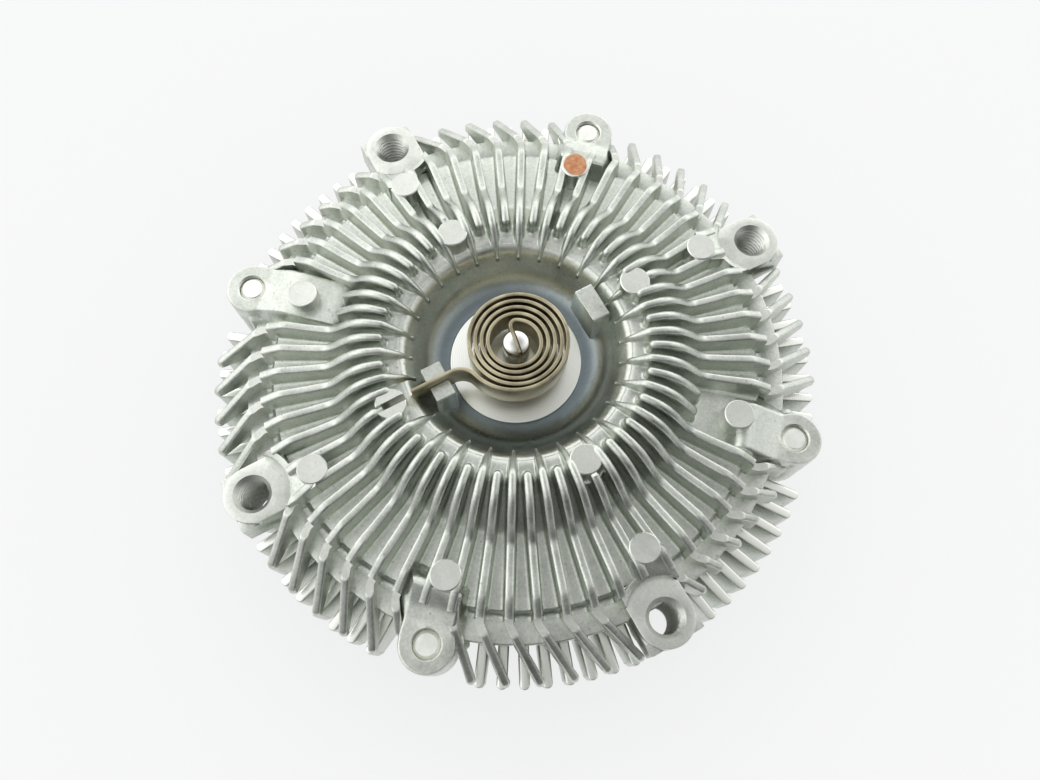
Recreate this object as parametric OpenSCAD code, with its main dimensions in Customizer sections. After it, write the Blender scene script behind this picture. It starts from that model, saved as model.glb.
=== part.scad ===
// Viscous fan clutch: a finned housing that turns on a flanged drive shaft.
// Silicone fluid between the rotor and the housing carries the drive, and a bimetal coil
// on the front turns the valve that lets the fluid in.
// The origin is the centre of the mounting flange's rear face, and +Z points to the front.

/* [Fan seat] */
// Height of the turned fan seat above the mounting flange's rear face
seat_z = 56; // [54:0.5:70]
// Bolt circle of the fan bosses and the screw ears, which the outer radii follow
fan_pcd = 130; // [128:0.5:134]
// Bore of a fan boss, drilled for an M8 thread
fan_tap_d = 6.8; // [5:0.1:8]
// Radius of a fan boss's round end
boss_r = 6.7; // [5.5:0.1:6.8]
// Radius of the spot face round a fan hole
spot_r = 8.4; // [7.5:0.1:9]
// Depth of a fan boss's threaded tube below the fan seat
tube_drop = 19; // [14:0.5:20]
// Radius of a fan boss's threaded tube
tube_r = 5.4; // [5:0.1:5.4]

/* [Front cover] */
// How far the bolt circle lies outside the cover's rim
lug_reach = 2.6; // [2.4:0.1:3.2]
// Wall thickness of the cover
cover_wall = 4; // [3:0.1:4.5]
// Depth of the joint below the fan seat
parting_drop = 9; // [8.5:0.1:12]
// Radius of the machined pad under the coil
pad_r = 15; // [14:0.1:16]
// Radius of the dish's rim
dish_r = 23.4; // [22.5:0.1:24]
// Height of the crest round the dish, above the fan seat
crest_rise = 8.3; // [7.5:0.1:9]
// Outer radius of the crest's flat
crest_r = 30.5; // [29:0.1:32]
// Radius where the crest's outer slope meets the floor
foot_r = 40; // [38:0.1:42]
// How far the floor between the fins ends inside the cover's rim
floor_in = 6.5; // [6:0.1:7.2]
// Fall of the floor at its outer radius, below the fan seat
floor_drop = 1.3; // [0.8:0.1:2]
// Depth of the ledge outside the floor, below the fan seat
ledge_drop = 4; // [3:0.1:5]

/* [Front fins] */
// Thickness of a front fin
fin_t = 1.8; // [1.4:0.1:2]
// Radius of the long fins' inner ends
long_fin_r = 23.9; // [23.6:0.1:25]
// Radius of the short fins' inner ends
short_fin_r = 28.7; // [27.5:0.1:29.5]
// Height of the fins' crown above the fan seat
crown_rise = 12.5; // [11.5:0.1:13.5]
// Radius where the crown starts to fall
crown_r = 35.6; // [34.5:0.1:36.5]
// Height of the fins' outer shelf above the fan seat
shelf_rise = 4.8; // [4:0.1:5.5]
// Radius where the shelf starts
shelf_r = 42.8; // [42:0.1:44]
// How far the turned step at the fan seat lies inside the cover's rim
step_in = 4.8; // [4.4:0.1:5.4]
// How far the turned facets on the tips end inside the cover's rim
facet_in = 1.4; // [0.4:0.1:2.4]
// Reach of the fins' tips outside the cover's rim
tip_reach = 8.4; // [6.6:0.1:9]
// Fall of a tip's top at its outer end, below the fan seat
tip_drop = 6.8; // [5:0.1:7.5]
// Angle that the tips sweep from the radial direction
tip_sweep = 32; // [25:1:34]
// How far the flats that cut the tips on two sides lie inside the bolt circle
flat_in = 0.8; // [0.4:0.1:1.4]

/* [Ejector pads] */
// Diameter of an ejector pad
pin_d = 6.8; // [6:0.1:7.2]
// Radius of the inner ring of pads
inner_pin_r = 30; // [29.5:0.1:31]
// Height of the inner pads above the fan seat
inner_pin_rise = 12; // [11:0.1:13]
// How far the outer ring of pads lies inside the cover's rim
outer_pin_in = 11.4; // [10.4:0.1:12.4]
// Height of the outer pads above the fan seat
outer_pin_rise = 4.9; // [4.5:0.1:5.5]

/* [Screws] */
// Thread diameter of the cover screws
screw_d = 6; // [5:0.1:6.4]
// Radius of a screw ear
ear_r = 6; // [5.4:0.1:6.2]
// Depth of the ears' faces below the fan seat
ear_drop = 0.5; // [0.3:0.1:1]
// Thickness of a screw ear on the rear case
case_ear_t = 8; // [6:0.5:10]
// Height of a hexagon screw head
head_h = 4; // [3.5:0.1:5]
// Width of a hexagon screw head across its flats
head_af = 10; // [9:0.1:10]
// Thickness of a spring washer
washer_t = 1.6; // [1.2:0.1:2]

/* [Coil] */
// Radius of the coil's inner turn
coil_in_r = 5.1; // [4.9:0.1:5.4]
// Spacing of the coil's turns
coil_pitch = 1.44; // [1.2:0.02:1.46]
// Thickness of the bimetal strip
strip_t = 0.85; // [0.6:0.05:1]
// Width of the bimetal strip
strip_w = 7; // [6:0.1:7.4]
// Height of the strip's lower edge above the fan seat
strip_rise = 4.5; // [3.8:0.1:5]
// Radius of the coil's outer end, in the anchor block
leg_r = 25; // [23:0.1:25.2]
// Height of the anchor blocks above the fan seat
block_rise = 9; // [8.5:0.1:10]
// Width of an anchor block
block_w = 8.4; // [7:0.1:10]

/* [Valve] */
// Diameter of the valve shaft
valve_d = 6; // [5.5:0.1:6.5]
// Height of the valve shaft's tip above the fan seat
valve_rise = 11.9; // [11.7:0.1:13]
// Radius of the ports in the partition plate, from the axis
port_r = 34; // [28:0.5:38]
// Diameter of a port
port_d = 7; // [5:0.5:8]
// Thickness of the partition plate
plate_t = 1; // [0.8:0.1:1.5]
// Thickness of the valve arm
arm_t = 0.8; // [0.6:0.1:1]

/* [Rotor] */
// Width of the joint between the rotor's bore and the cover's rim
joint_w = 8.2; // [8:0.1:9]
// Gap between the rotor's rim and its bore
rotor_gap = 2; // [1.8:0.1:3]
// Thickness of the rotor's disc
rotor_t = 4.5; // [4:0.1:6]
// Height of the labyrinth ridges
ridge_h = 4; // [2:0.1:5]
// Thickness of a labyrinth ridge
ridge_t = 1.8; // [1.4:0.1:2]
// Radial spacing of the labyrinth ridges
ridge_pitch = 5; // [5:0.1:6]

/* [Bearing] */
// Outer diameter of the bearing
bearing_d = 47; // [46:0.5:48]
// Bore of the bearing
bearing_bore = 20; // [19.5:0.1:20.5]
// Width of the bearing
bearing_w = 14; // [14:0.5:16]
// Diameter of a ball
ball_d = 7.94; // [7:0.02:8.1]
// Number of balls
ball_count = 8; // [6:1:9]

/* [Rear case] */
// Wall thickness of the rear case's floor
case_wall = 5; // [4:0.1:6]
// Wall thickness of the hub round the bearing
hub_wall = 5.5; // [4:0.1:6]
// Number of rear fins
rear_fin_count = 90; // [72:18:90]
// Thickness of a rear fin
rear_fin_t = 2.3; // [1.6:0.1:2.5]
// Reach of the rear fins outside the cover's rim
rear_tip_reach = 9; // [7.6:0.1:9.6]
// Height of the rear fins behind the case's floor
rear_fin_h = 5.7; // [4:0.1:7]

/* [Drive shaft] */
// Diameter of the mounting flange
flange_d = 84; // [80:0.5:90]
// Thickness of the mounting flange
flange_t = 7; // [6:0.1:8]
// Bolt circle of the mounting flange
flange_pcd = 66; // [62:0.5:68]
// Diameter of a hole in the mounting flange
flange_hole_d = 8.6; // [8:0.1:9]
// Diameter of the pilot recess in the mounting flange
pilot_d = 25; // [20:0.5:30]
// Depth of the pilot recess
pilot_depth = 5; // [3:0.1:6]

/* [Clearances] */
// Radial clearance of a running fit
run_fit = 0.04; // [0.02:0.01:0.08]
// Radial clearance of a ball in its grooves
ball_fit = 0.02; // [0.01:0.01:0.05]
// Clearance of a thread or of a strip in its slot
slip_fit = 0.05; // [0.02:0.01:0.1]
// Radial clearance of a screw in the rear case's ear
screw_gap = 0.2; // [0.15:0.05:0.3]
// Gap between a screw head and the rear case's wall
head_gap = 0.4; // [0.3:0.05:0.6]
// Gap between parts that turn against each other
turn_gap = 0.3; // [0.25:0.05:0.5]

/* [Hidden] */
$fn = 96;

// Radii that follow the bolt circle, and the lugs: bosses and ears by turns, an eighth of a turn apart
lug_r = fan_pcd / 2;
cover_r = lug_r - lug_reach;
floor_r = cover_r - floor_in;
step_r = cover_r - step_in;
facet_r = cover_r - facet_in;
tip_r = cover_r + tip_reach;
rear_tip_r = cover_r + rear_tip_reach;
outer_pin_r = cover_r - outer_pin_in;
chamber_r = cover_r - joint_w;
boss_angles = [30, 120, 210, 300];
ear_angles = [75, 165, 255, 345];
relief_angles = [165, 345];
lug_step = 45;
boss_ahead = 3;
flat_angles = [142, 322];
anchor_a = 210;

// Front fins, long and short by turns; the count ties them to the lugs' angles
fin_count = 60;
fin_root = 1.5;
tip_lift = 0.8;

// Small steps of the casting: lands beside the lugs' round ends, and how far pieces sink in
land_step = 0.2;
lug_lift = 0.3;
block_step = 1.6;
block_corner = 1.2;
spot_land_w = 4.6;
sink = 3;
draft_gap = 0.5;

// Stack of heights along the axis, from the seat down to the flange
parting_z = seat_z - parting_drop;
plate_z = parting_z - plate_t;
plate_gap = 1;
rotor_top_z = plate_z - plate_gap;
ridge_root_z = rotor_top_z - rotor_t;
ridge_gap = 0.8;
chamber_z = ridge_root_z - ridge_h - ridge_gap;
bearing_stop = 3;
bearing_top_z = chamber_z - bearing_stop;
bearing_low_z = bearing_top_z - bearing_w;
snap_t = 1.5;
snap_depth = 1.1;
snap_gap = 0.1;
snap_z = bearing_low_z - snap_t;
hub_lip = 1.8;
hub_low_z = snap_z - hub_lip;
case_back_z = chamber_z - case_wall;

// Radii that several pieces share
valve_r = valve_d / 2;
valve_bore_r = valve_r + run_fit;
bearing_r = bearing_d / 2;
shaft_r = bearing_bore / 2;
ball_path_r = (bearing_r + shaft_r) / 2;
race_share = 0.29;
race_in_r = ball_path_r - ball_d * race_share;
race_out_r = ball_path_r + ball_d * race_share;
rotor_r = chamber_r - rotor_gap;
rotor_step = 1.5;
rotor_bore_r = shaft_r - rotor_step;
joint_step = 1;
case_r = cover_r - joint_step;
plate_seat = 1.8;
plate_r = chamber_r + plate_seat;
reservoir_r = chamber_r - 1.2;
hub_r = bearing_r + hub_wall;
groove_in_r = plate_r + 0.8;
groove_w = 1.8;
groove_depth = 1.7;
groove_out_r = groove_in_r + groove_w;
clip_rise = turn_gap;
clip_t = 0.8;
clip_r = valve_r + 1.25;
arm_top_z = parting_z + turn_gap + arm_t;
neck_r = valve_r + 4.5;
neck_gap = 0.5;

// Slope between the crest and the floor, and the mitre of the wall's inside there
slope_a = atan2(crest_rise, foot_r - crest_r);
mitre = cover_wall * tan(slope_a / 2);
cove_r = dish_r - pad_r;
pad_step = 0.5;
floor_slope = floor_drop / (floor_r - foot_r);

// Unit vector of v
function unit(v) = v / norm(v);

// Point at radius r and angle a
function polar(r, a) = [r * cos(a), r * sin(a)];

// Points along an arc about c, in steps that end on both angles
function arc(c, r, a0, a1, n = 6) = [for (i = [0:n]) c + polar(r, a0 + (a1 - a0) * i / n)];

// Arc of radius r that rounds the corner p between the points before and after it
function corner(before, p, after, r, n = 4) =
    let (
        u = unit(before - p),
        v = unit(after - p),
        half = acos(u * v) / 2,
        c = p + unit(u + v) * r / sin(half),
        s = p + u * r / tan(half) - c,
        e = p + v * r / tan(half) - c,
        a0 = atan2(s[1], s[0]),
        turn = (atan2(e[1], e[0]) - a0 + 540) % 360 - 180
    )
    arc(c, r, a0, a0 + turn, n);

// Open line through points of [x, y, corner radius]
function rounded(pts) = [
    for (i = [0:len(pts) - 1])
        each pts[i][2] == 0
            ? [[pts[i][0], pts[i][1]]]
            : corner([pts[i - 1][0], pts[i - 1][1]], [pts[i][0], pts[i][1]],
                     [pts[i + 1][0], pts[i + 1][1]], pts[i][2])
];

// Smallest angle between a and b, on a circle of the given period
function apart(a, b, period = 360) = let (d = ((a - b) % period + period) % period) min(d, period - d);

// Smallest angle between a and any angle of the list
function nearest(a, list) = min([for (b = list) apart(a, b)]);

// Turned solid from a half section of [radius, height] points
module turned(section) {
    rotate_extrude() polygon(section);
}

// Ring between two radii and two heights
module ring(r_in, r_out, z0, z1) {
    turned([[r_in, z0], [r_out, z0], [r_out, z1], [r_in, z1]]);
}

// Upright cylinder between two heights
module post(r, z0, z1) {
    translate([0, 0, z0]) cylinder(r = r, h = z1 - z0);
}

// Children at a radius, once for each angle
module around(r, angles) {
    for (a = angles) rotate(a) translate([r, 0, 0]) children();
}

// Half section of the cover without fins, heights from the fan seat
neck_low = arm_top_z + neck_gap - seat_z;
cover_section = concat(
    [[valve_bore_r, 0], [pad_r, 0]],
    arc([pad_r, cove_r - pad_step], cove_r, -90, -10),
    rounded([
        [dish_r + 0.1, crest_rise, 0],
        [crest_r, crest_rise, 3],
        [foot_r, 0, 4],
        [floor_r, -floor_drop, 0]
    ]),
    [[floor_r, -ledge_drop], [cover_r, -ledge_drop - 0.2], [cover_r, -parting_drop]],
    [[reservoir_r, -parting_drop], [reservoir_r, -cover_wall - floor_slope * (reservoir_r - foot_r)]],
    [[foot_r - mitre, -cover_wall], [crest_r - mitre, crest_rise - cover_wall]],
    arc([pad_r, cove_r - pad_step], cove_r + cover_wall,
        -acos((cove_r - pad_step - crest_rise + cover_wall) / (cove_r + cover_wall)), -90),
    [[neck_r, -pad_step - cover_wall], [neck_r, neck_low], [valve_bore_r, neck_low]]
);

// Half section that the fins and their tips fill, heights from the fan seat
fin_section = concat(
    rounded([
        [long_fin_r, crest_rise - 1, 0],
        [short_fin_r + 0.3, crown_rise, 2],
        [crown_r, crown_rise - 0.5, 4],
        [shelf_r, shelf_rise, 4],
        [step_r - 3.5, shelf_rise, 5],
        [step_r, shelf_rise - 2.2, 0]
    ]),
    [[step_r, 0], [facet_r, 0], [tip_r, -tip_drop], [tip_r, tip_lift - parting_drop]],
    [[cover_r - 1, tip_lift - parting_drop], [floor_r - 1, -floor_drop - fin_root], [foot_r, -fin_root]],
    [[crest_r, crest_rise - fin_root], [long_fin_r, crest_rise - fin_root]]
);

// Angle from a front fin on to the next lug, the way the tips sweep
function lug_ahead(a) = ((boss_angles[0] - a) % lug_step + lug_step) % lug_step;

// A tip that would run into a lug is left off, and one that meets a lug's side ends there
tip_bend_r = step_r + 1;
no_tip_a = 7.2;
short_tip_a = 10;
function tip_end(a) = lug_ahead(a) < no_tip_a ? 0 : lug_ahead(a) < short_tip_a ? lug_r : tip_r + 1;

// Radius of a fin's inner end, and of its straight part's outer end
relief_r = foot_r + 2;
relief_a = 4.5;
function fin_start(i, a) = apart(a, anchor_a) < 1 ? inner_pin_r : i % 2 == 1 ? long_fin_r : short_fin_r;
function fin_end(a) =
    nearest(a, relief_angles) < relief_a ? relief_r : tip_end(a) > 0 ? tip_bend_r : step_r - land_step;

// Outline of one straight fin with a round inner end
module fin_outline(r0, r1) {
    polygon(concat(
        [[r1, -fin_t / 2], [r1, fin_t / 2]],
        arc([r0 + fin_t / 2, 0], fin_t / 2, 90, 270)
    ));
}

// Outline of one swept tip, from the bend to a given radius
module tip_outline(r_end) {
    reach = (r_end - tip_bend_r) / cos(tip_sweep);
    translate([tip_bend_r, 0]) rotate(tip_sweep) polygon([
        [-fin_t / 2, -fin_t / 2], [reach, -fin_t / 2], [reach, fin_t / 2], [-fin_t / 2, fin_t / 2]
    ]);
}

// All front fins, as upright plates cut to the fins' half section
module front_fins() {
    flat_r = lug_r - flat_in;
    flat_w = 2 * lug_r * sin(lug_step / 2);
    difference() {
        intersection() {
            translate([0, 0, -parting_drop - 1]) linear_extrude(parting_drop + crown_rise + 2)
                for (i = [0:fin_count - 1]) let (a = i * 360 / fin_count) rotate(a) {
                    fin_outline(fin_start(i, a), fin_end(a));
                    if (fin_end(a) == tip_bend_r) tip_outline(tip_end(a));
                }
            turned(fin_section);
        }
        for (a = flat_angles) rotate(a) translate([flat_r, -flat_w / 2, -parting_drop])
            cube([tip_r - flat_r + 1, flat_w, parting_drop]);
    }
}

// Fan bosses: a square block under a round face, a threaded tube below it, and a land behind it
module fan_bosses() {
    boss_low = lug_lift - parting_drop;
    land_w = 2 * (boss_r - land_step);
    root_x = floor_r - lug_r - 2;
    around(lug_r, boss_angles) {
        post(boss_r, boss_low, 0);
        post(tube_r, -tube_drop, -block_step);
        translate([root_x, -land_w / 2, boss_low])
            cube([boss_r - block_corner - root_x, land_w, -block_step - boss_low]);
        translate([root_x, -land_w / 2, boss_low]) cube([-root_x, land_w, -boss_low]);
        translate([root_x + 1, -boss_r - draft_gap, -parting_drop + 2])
            cube([spot_land_w, 2 * (boss_r + draft_gap), parting_drop - 4 + shelf_rise]);
    }
}

// Ears for the cover screws, with a tongue that runs in and up to the outer pads
ear_land_w = 2 * (ear_r - land_step);
ramp_low_x = -3.5;
ramp_end = 0.8;
module cover_ears() {
    around(lug_r, ear_angles) {
        post(ear_r, -parting_drop, -ear_drop);
        translate([0, ear_land_w / 2, 0]) rotate([90, 0, 0]) linear_extrude(ear_land_w) polygon([
            [outer_pin_r - lug_r, -ledge_drop - 1], [0, -ledge_drop - 1],
            [0, -ear_drop], [ramp_low_x, -ear_drop],
            [outer_pin_r + pin_d / 2 - lug_r, outer_pin_rise - ramp_end],
            [outer_pin_r - lug_r, outer_pin_rise - ramp_end]
        ]);
        translate([cover_r - sink - lug_r, -ear_land_w / 2, lug_lift - parting_drop])
            cube([lug_r - cover_r + sink, ear_land_w, parting_drop - lug_lift - ear_drop]);
    }
}

// Round pads left by the ejector pins
module ejector_pads() {
    around(inner_pin_r, boss_angles) post(pin_d / 2, crest_rise - sink, inner_pin_rise);
    around(outer_pin_r, concat([for (a = boss_angles) a + boss_ahead], ear_angles))
        post(pin_d / 2, -sink, outer_pin_rise);
}

// Blocks on the dish's wall, one of them split for the coil's leg
block_in_r = pad_r + 1.4;
block_out_r = dish_r - 2;
module anchor_blocks() {
    around(block_in_r, [anchor_a, anchor_a - 180]) translate([0, -block_w / 2, -fin_root])
        cube([block_out_r - block_in_r, block_w, block_rise + fin_root]);
}

// Chamfered mouth of a hole of radius r, in a face at height z
module mouth(r, z, chamfer) {
    translate([0, 0, z - chamfer]) cylinder(r1 = r, r2 = r + chamfer, h = chamfer + 0.001);
}

// Cuts: fan holes with their spot faces, screw holes, and the slots for the coil's leg
tap_chamfer = 0.85;
screw_mouth_chamfer = 0.3;
slot_w = strip_t + 0.5;
leg_gap = 0.6;
module cover_cuts() {
    around(lug_r, boss_angles) {
        post(fan_tap_d / 2, -tube_drop - 1, 1);
        post(spot_r, 0, crown_rise);
        mouth(fan_tap_d / 2, 0, tap_chamfer);
    }
    around(lug_r, ear_angles) {
        post(screw_d / 2 + slip_fit, -parting_drop - 1, 1);
        mouth(screw_d / 2 + slip_fit, -ear_drop, screw_mouth_chamfer);
    }
    rotate(anchor_a) {
        translate([0, -slot_w / 2, strip_rise - turn_gap]) cube([leg_r + leg_gap, slot_w, crown_rise]);
        translate([leg_r, -slot_w / 2, crest_rise + 1])
            cube([inner_pin_r - leg_r + pin_d / 2 + 1, slot_w, crown_rise]);
    }
}

module front_cover() {
    color("silver") translate([0, 0, seat_z]) difference() {
        union() {
            turned(cover_section);
            front_fins();
            fan_bosses();
            cover_ears();
            ejector_pads();
            anchor_blocks();
        }
        cover_cuts();
    }
}

// Ridges of the labyrinth: the case's stand between the rotor's
ridge_first_r = hub_r - 2;
ridge_count = floor((rotor_r - ridge_t - ridge_first_r) / ridge_pitch);
function ridge_r(i) = ridge_first_r + i * ridge_pitch;

// Half section of the rear case, with the bearing's seat and the snap ring's groove
case_chamfer = 1;
bowl_step = 0.4;
bowl_r = lug_r - head_af / 2 / cos(30) - head_gap;
bearing_lip_r = bearing_r - 6;
snap_groove_r = bearing_r + snap_depth + snap_gap;
case_section = concat(
    [[bearing_r, hub_low_z], [hub_r - case_chamfer, hub_low_z]],
    rounded([
        [hub_r, hub_low_z + case_chamfer, 0],
        [hub_r, case_back_z, 3],
        [bowl_r, case_back_z, 6],
        [bowl_r, parting_z - case_ear_t + bowl_step, 0],
        [case_r, parting_z - case_ear_t + bowl_step + case_r - bowl_r, 0]
    ]),
    [[case_r, parting_z], [plate_r + slip_fit, parting_z], [plate_r + slip_fit, plate_z]],
    [[chamber_r, plate_z], [chamber_r, chamber_z], [bearing_lip_r, chamber_z]],
    [[bearing_lip_r, bearing_top_z]],
    [[bearing_r, bearing_top_z], [bearing_r, bearing_low_z], [snap_groove_r, bearing_low_z]],
    [[snap_groove_r, snap_z - snap_gap], [bearing_r, snap_z - snap_gap]]
);

// Half section that the rear fins fill
rear_fin_top_z = parting_z - 1.5;
rear_fin_low_z = case_back_z - rear_fin_h;
rear_fin_chamfer = 0.6;
rear_fin_section = [
    [case_r - fin_root, rear_fin_top_z], [rear_tip_r - rear_fin_chamfer, rear_fin_top_z],
    [rear_tip_r, rear_fin_top_z - rear_fin_chamfer], [rear_tip_r, case_back_z + 4],
    [case_r + 1, rear_fin_low_z], [hub_r + 7, rear_fin_low_z],
    [hub_r + 4, case_back_z + 1], [case_r - 6, case_back_z + 1]
];

// Rear fins as upright plates with round outer ends, long and short by turns
rear_clear_a = 6.2;
module rear_fins() {
    intersection() {
        translate([0, 0, rear_fin_low_z - 1]) linear_extrude(rear_fin_top_z - rear_fin_low_z + 2)
            for (i = [0:rear_fin_count - 1])
                let (a = i * 360 / rear_fin_count + 1, r0 = i % 2 == 0 ? hub_r + 5 : chamber_r)
                    if (nearest(a, concat(boss_angles, ear_angles)) > rear_clear_a) rotate(a)
                        polygon(concat(
                            [[r0, rear_fin_t / 2], [r0, -rear_fin_t / 2]],
                            arc([rear_tip_r - rear_fin_t / 2, 0], rear_fin_t / 2, -90, 90, 4)
                        ));
        turned(rear_fin_section);
    }
}

module rear_case() {
    ear_root_r = (plate_r + groove_in_r) / 2;
    color("silver") difference() {
        union() {
            turned(case_section);
            rear_fins();
            around(lug_r, ear_angles) {
                post(ear_r, parting_z - case_ear_t, parting_z);
                translate([ear_root_r - lug_r, -ear_land_w / 2, parting_z - case_ear_t])
                    cube([lug_r - ear_root_r, ear_land_w, case_ear_t]);
            }
            for (i = [0:ridge_count])
                ring(ridge_r(i), ridge_r(i) + ridge_t, chamber_z - fin_root, ridge_root_z - ridge_gap);
        }
        ring(groove_in_r, groove_out_r, parting_z - groove_depth, parting_z + 1);
        around(lug_r, ear_angles) post(screw_d / 2 + screw_gap, parting_z - case_ear_t - 1, parting_z + 1);
        around(lug_r, boss_angles) post(tube_r + turn_gap, seat_z - tube_drop - 1, parting_z + 1);
    }
}

module cover_o_ring() {
    half = groove_depth / 2 - slip_fit;
    mid_z = parting_z - groove_depth / 2;
    color("black") turned(concat(
        arc([groove_in_r + slip_fit + half, mid_z], half, 90, 270),
        arc([groove_out_r - slip_fit - half, mid_z], half, -90, 90)
    ));
}

// Screws from the rear, with their ends just under the ears' faces
screw_end_drop = 0.3;
screw_chamfer = 0.7;
module cover_screws() {
    seat_low = parting_z - case_ear_t - washer_t;
    tip = seat_z - ear_drop - screw_end_drop;
    color("gainsboro") around(lug_r, ear_angles) {
        translate([0, 0, seat_low - head_h]) cylinder(d = head_af / cos(30), h = head_h, $fn = 6);
        turned([[0, seat_low - sink], [screw_d / 2, seat_low - sink], [screw_d / 2, tip - screw_chamfer],
                [screw_d / 2 - screw_chamfer, tip], [0, tip]]);
    }
}

// Spring washers: split rings under the screw heads
module screw_lock_washers() {
    top = parting_z - case_ear_t;
    split_w = 0.8;
    color("dimgray") around(lug_r, ear_angles) difference() {
        ring(screw_d / 2 + slip_fit, screw_d / 2 + 2, top - washer_t, top);
        rotate(-lug_step) translate([screw_d / 4, -split_w / 2, top - washer_t - 1])
            cube([screw_d, split_w, washer_t + 2]);
    }
}

// Disc between the reservoir and the working chamber: two ports, two return holes and two dams
module partition_plate() {
    dam_w = 8;
    dam_in_r = rotor_r + 2 * turn_gap;
    return_d = 4;
    color("lightsteelblue") {
        difference() {
            post(plate_r, plate_z, parting_z);
            around(port_r, [0, 180]) post(port_d / 2, plate_z - 1, parting_z + 1);
            around(rotor_r - return_d, [84, 264]) post(return_d / 2, plate_z - 1, parting_z + 1);
        }
        intersection() {
            ring(dam_in_r, chamber_r - turn_gap, ridge_root_z, plate_z + plate_t / 2);
            around(chamber_r, [90, 270]) translate([-dam_w / 2, -dam_w / 2, ridge_root_z - 1])
                cube([dam_w, dam_w, rotor_t + plate_gap + plate_t + 1]);
        }
    }
}

module rotor() {
    rotor_hub_w = 4;
    flow_hole_d = 6;
    color("lightgray") difference() {
        union() {
            turned([
                [rotor_bore_r, bearing_top_z], [rotor_bore_r + rotor_hub_w, bearing_top_z],
                [rotor_bore_r + rotor_hub_w, ridge_root_z - 1],
                [rotor_bore_r + rotor_hub_w + 1, ridge_root_z],
                [rotor_r, ridge_root_z], [rotor_r, rotor_top_z], [rotor_bore_r, rotor_top_z]
            ]);
            for (i = [0:ridge_count - 1]) let (r = ridge_r(i) + (ridge_pitch + ridge_t) / 2)
                ring(r - ridge_t / 2, r + ridge_t / 2, ridge_root_z - ridge_h, ridge_root_z + fin_root);
        }
        around(hub_r - 9, [0:60:300]) post(flow_hole_d / 2, ridge_root_z - 1, rotor_top_z + 1);
    }
}

// Forged shaft with its flange, turned down for the bearing and again for the rotor
module drive_shaft() {
    collar_r = race_in_r;
    end_chamfer = 0.8;
    end_z = rotor_top_z - end_chamfer / 4;
    flange_edge_r = 1;
    collar_fillet_r = 4;
    color("slategray") difference() {
        turned(concat(
            rounded([
                [0, 0, 0],
                [flange_d / 2, 0, flange_edge_r],
                [flange_d / 2, flange_t, flange_edge_r],
                [collar_r, flange_t, collar_fillet_r],
                [collar_r, bearing_low_z, 0]
            ]),
            [[shaft_r, bearing_low_z], [shaft_r, bearing_top_z], [rotor_bore_r, bearing_top_z]],
            [[rotor_bore_r, end_z - end_chamfer], [rotor_bore_r - end_chamfer, end_z], [0, end_z]]
        ));
        post(pilot_d / 2, -1, pilot_depth);
        around(flange_pcd / 2, [45:90:315]) post(flange_hole_d / 2, -1, flange_t + 1);
    }
}

// Ball bearing: races with a groove, balls in a cage, and a seal on each side
bearing_mid_z = (bearing_top_z + bearing_low_z) / 2;
groove_r = ball_d / 2 + ball_fit;

module ball_groove() {
    translate([0, 0, bearing_mid_z]) rotate_extrude() translate([ball_path_r, 0]) circle(r = groove_r);
}

module bearing_inner_race() {
    color("lightgray") difference() {
        ring(shaft_r, race_in_r, bearing_low_z, bearing_top_z);
        ball_groove();
    }
}

module bearing_outer_race() {
    color("lightgray") difference() {
        ring(race_out_r, bearing_r, bearing_low_z, bearing_top_z);
        ball_groove();
    }
}

module bearing_balls() {
    color("white") around(ball_path_r, [for (i = [0:ball_count - 1]) i * 360 / ball_count])
        translate([0, 0, bearing_mid_z]) sphere(d = ball_d);
}

module bearing_cage() {
    cage_t = 2.6;
    cage_h = ball_d * 1.2;
    color("goldenrod") difference() {
        ring(ball_path_r - cage_t / 2, ball_path_r + cage_t / 2,
             bearing_mid_z - cage_h / 2, bearing_mid_z + cage_h / 2);
        around(ball_path_r, [for (i = [0:ball_count - 1]) i * 360 / ball_count])
            translate([0, 0, bearing_mid_z]) sphere(r = ball_d / 2 + slip_fit);
    }
}

shield_t = 1;
shield_in = 0.3;
module bearing_seal(z) {
    color("dimgray") ring(race_in_r + run_fit, race_out_r, z, z + shield_t);
}

module bearing_seal_front() {
    bearing_seal(bearing_top_z - shield_in - shield_t);
}

module bearing_seal_rear() {
    bearing_seal(bearing_low_z + shield_in);
}

// Internal snap ring, open at one side
module bearing_snap_ring() {
    snap_opening = 6;
    color("dimgray") difference() {
        ring(bearing_r - 2, bearing_r + snap_depth, snap_z, bearing_low_z);
        translate([0, -snap_opening / 2, snap_z - 1]) cube([2 * bearing_r, snap_opening, snap_t + 2]);
    }
}

// Valve shaft: slot for the coil at its tip, grooves for clip and seal, spigot for the arm
seal_z = seat_z - 3.6;
seal_w = 1.6;
valve_core_r = valve_r - 0.8;
spigot_r = valve_core_r - 0.2;
tip_round = 1;

module valve_shaft() {
    arm_low_z = arm_top_z - arm_t;
    color("whitesmoke") difference() {
        turned(concat(
            [[0, arm_low_z], [spigot_r, arm_low_z], [spigot_r, arm_top_z], [valve_r, arm_top_z]],
            [[valve_r, seal_z], [valve_core_r, seal_z]],
            [[valve_core_r, seal_z + seal_w], [valve_r, seal_z + seal_w]],
            [[valve_r, seat_z + clip_rise], [valve_core_r, seat_z + clip_rise]],
            [[valve_core_r, seat_z + clip_rise + clip_t], [valve_r, seat_z + clip_rise + clip_t]],
            arc([valve_r - tip_round, seat_z + valve_rise - tip_round], tip_round, 0, 90, 3),
            [[0, seat_z + valve_rise]]
        ));
        rotate(hook_a) translate([-valve_d, -strip_t / 2 - slip_fit, seat_z + strip_rise - turn_gap])
            cube([2 * valve_d, strip_t + 2 * slip_fit, valve_rise]);
    }
}

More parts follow.
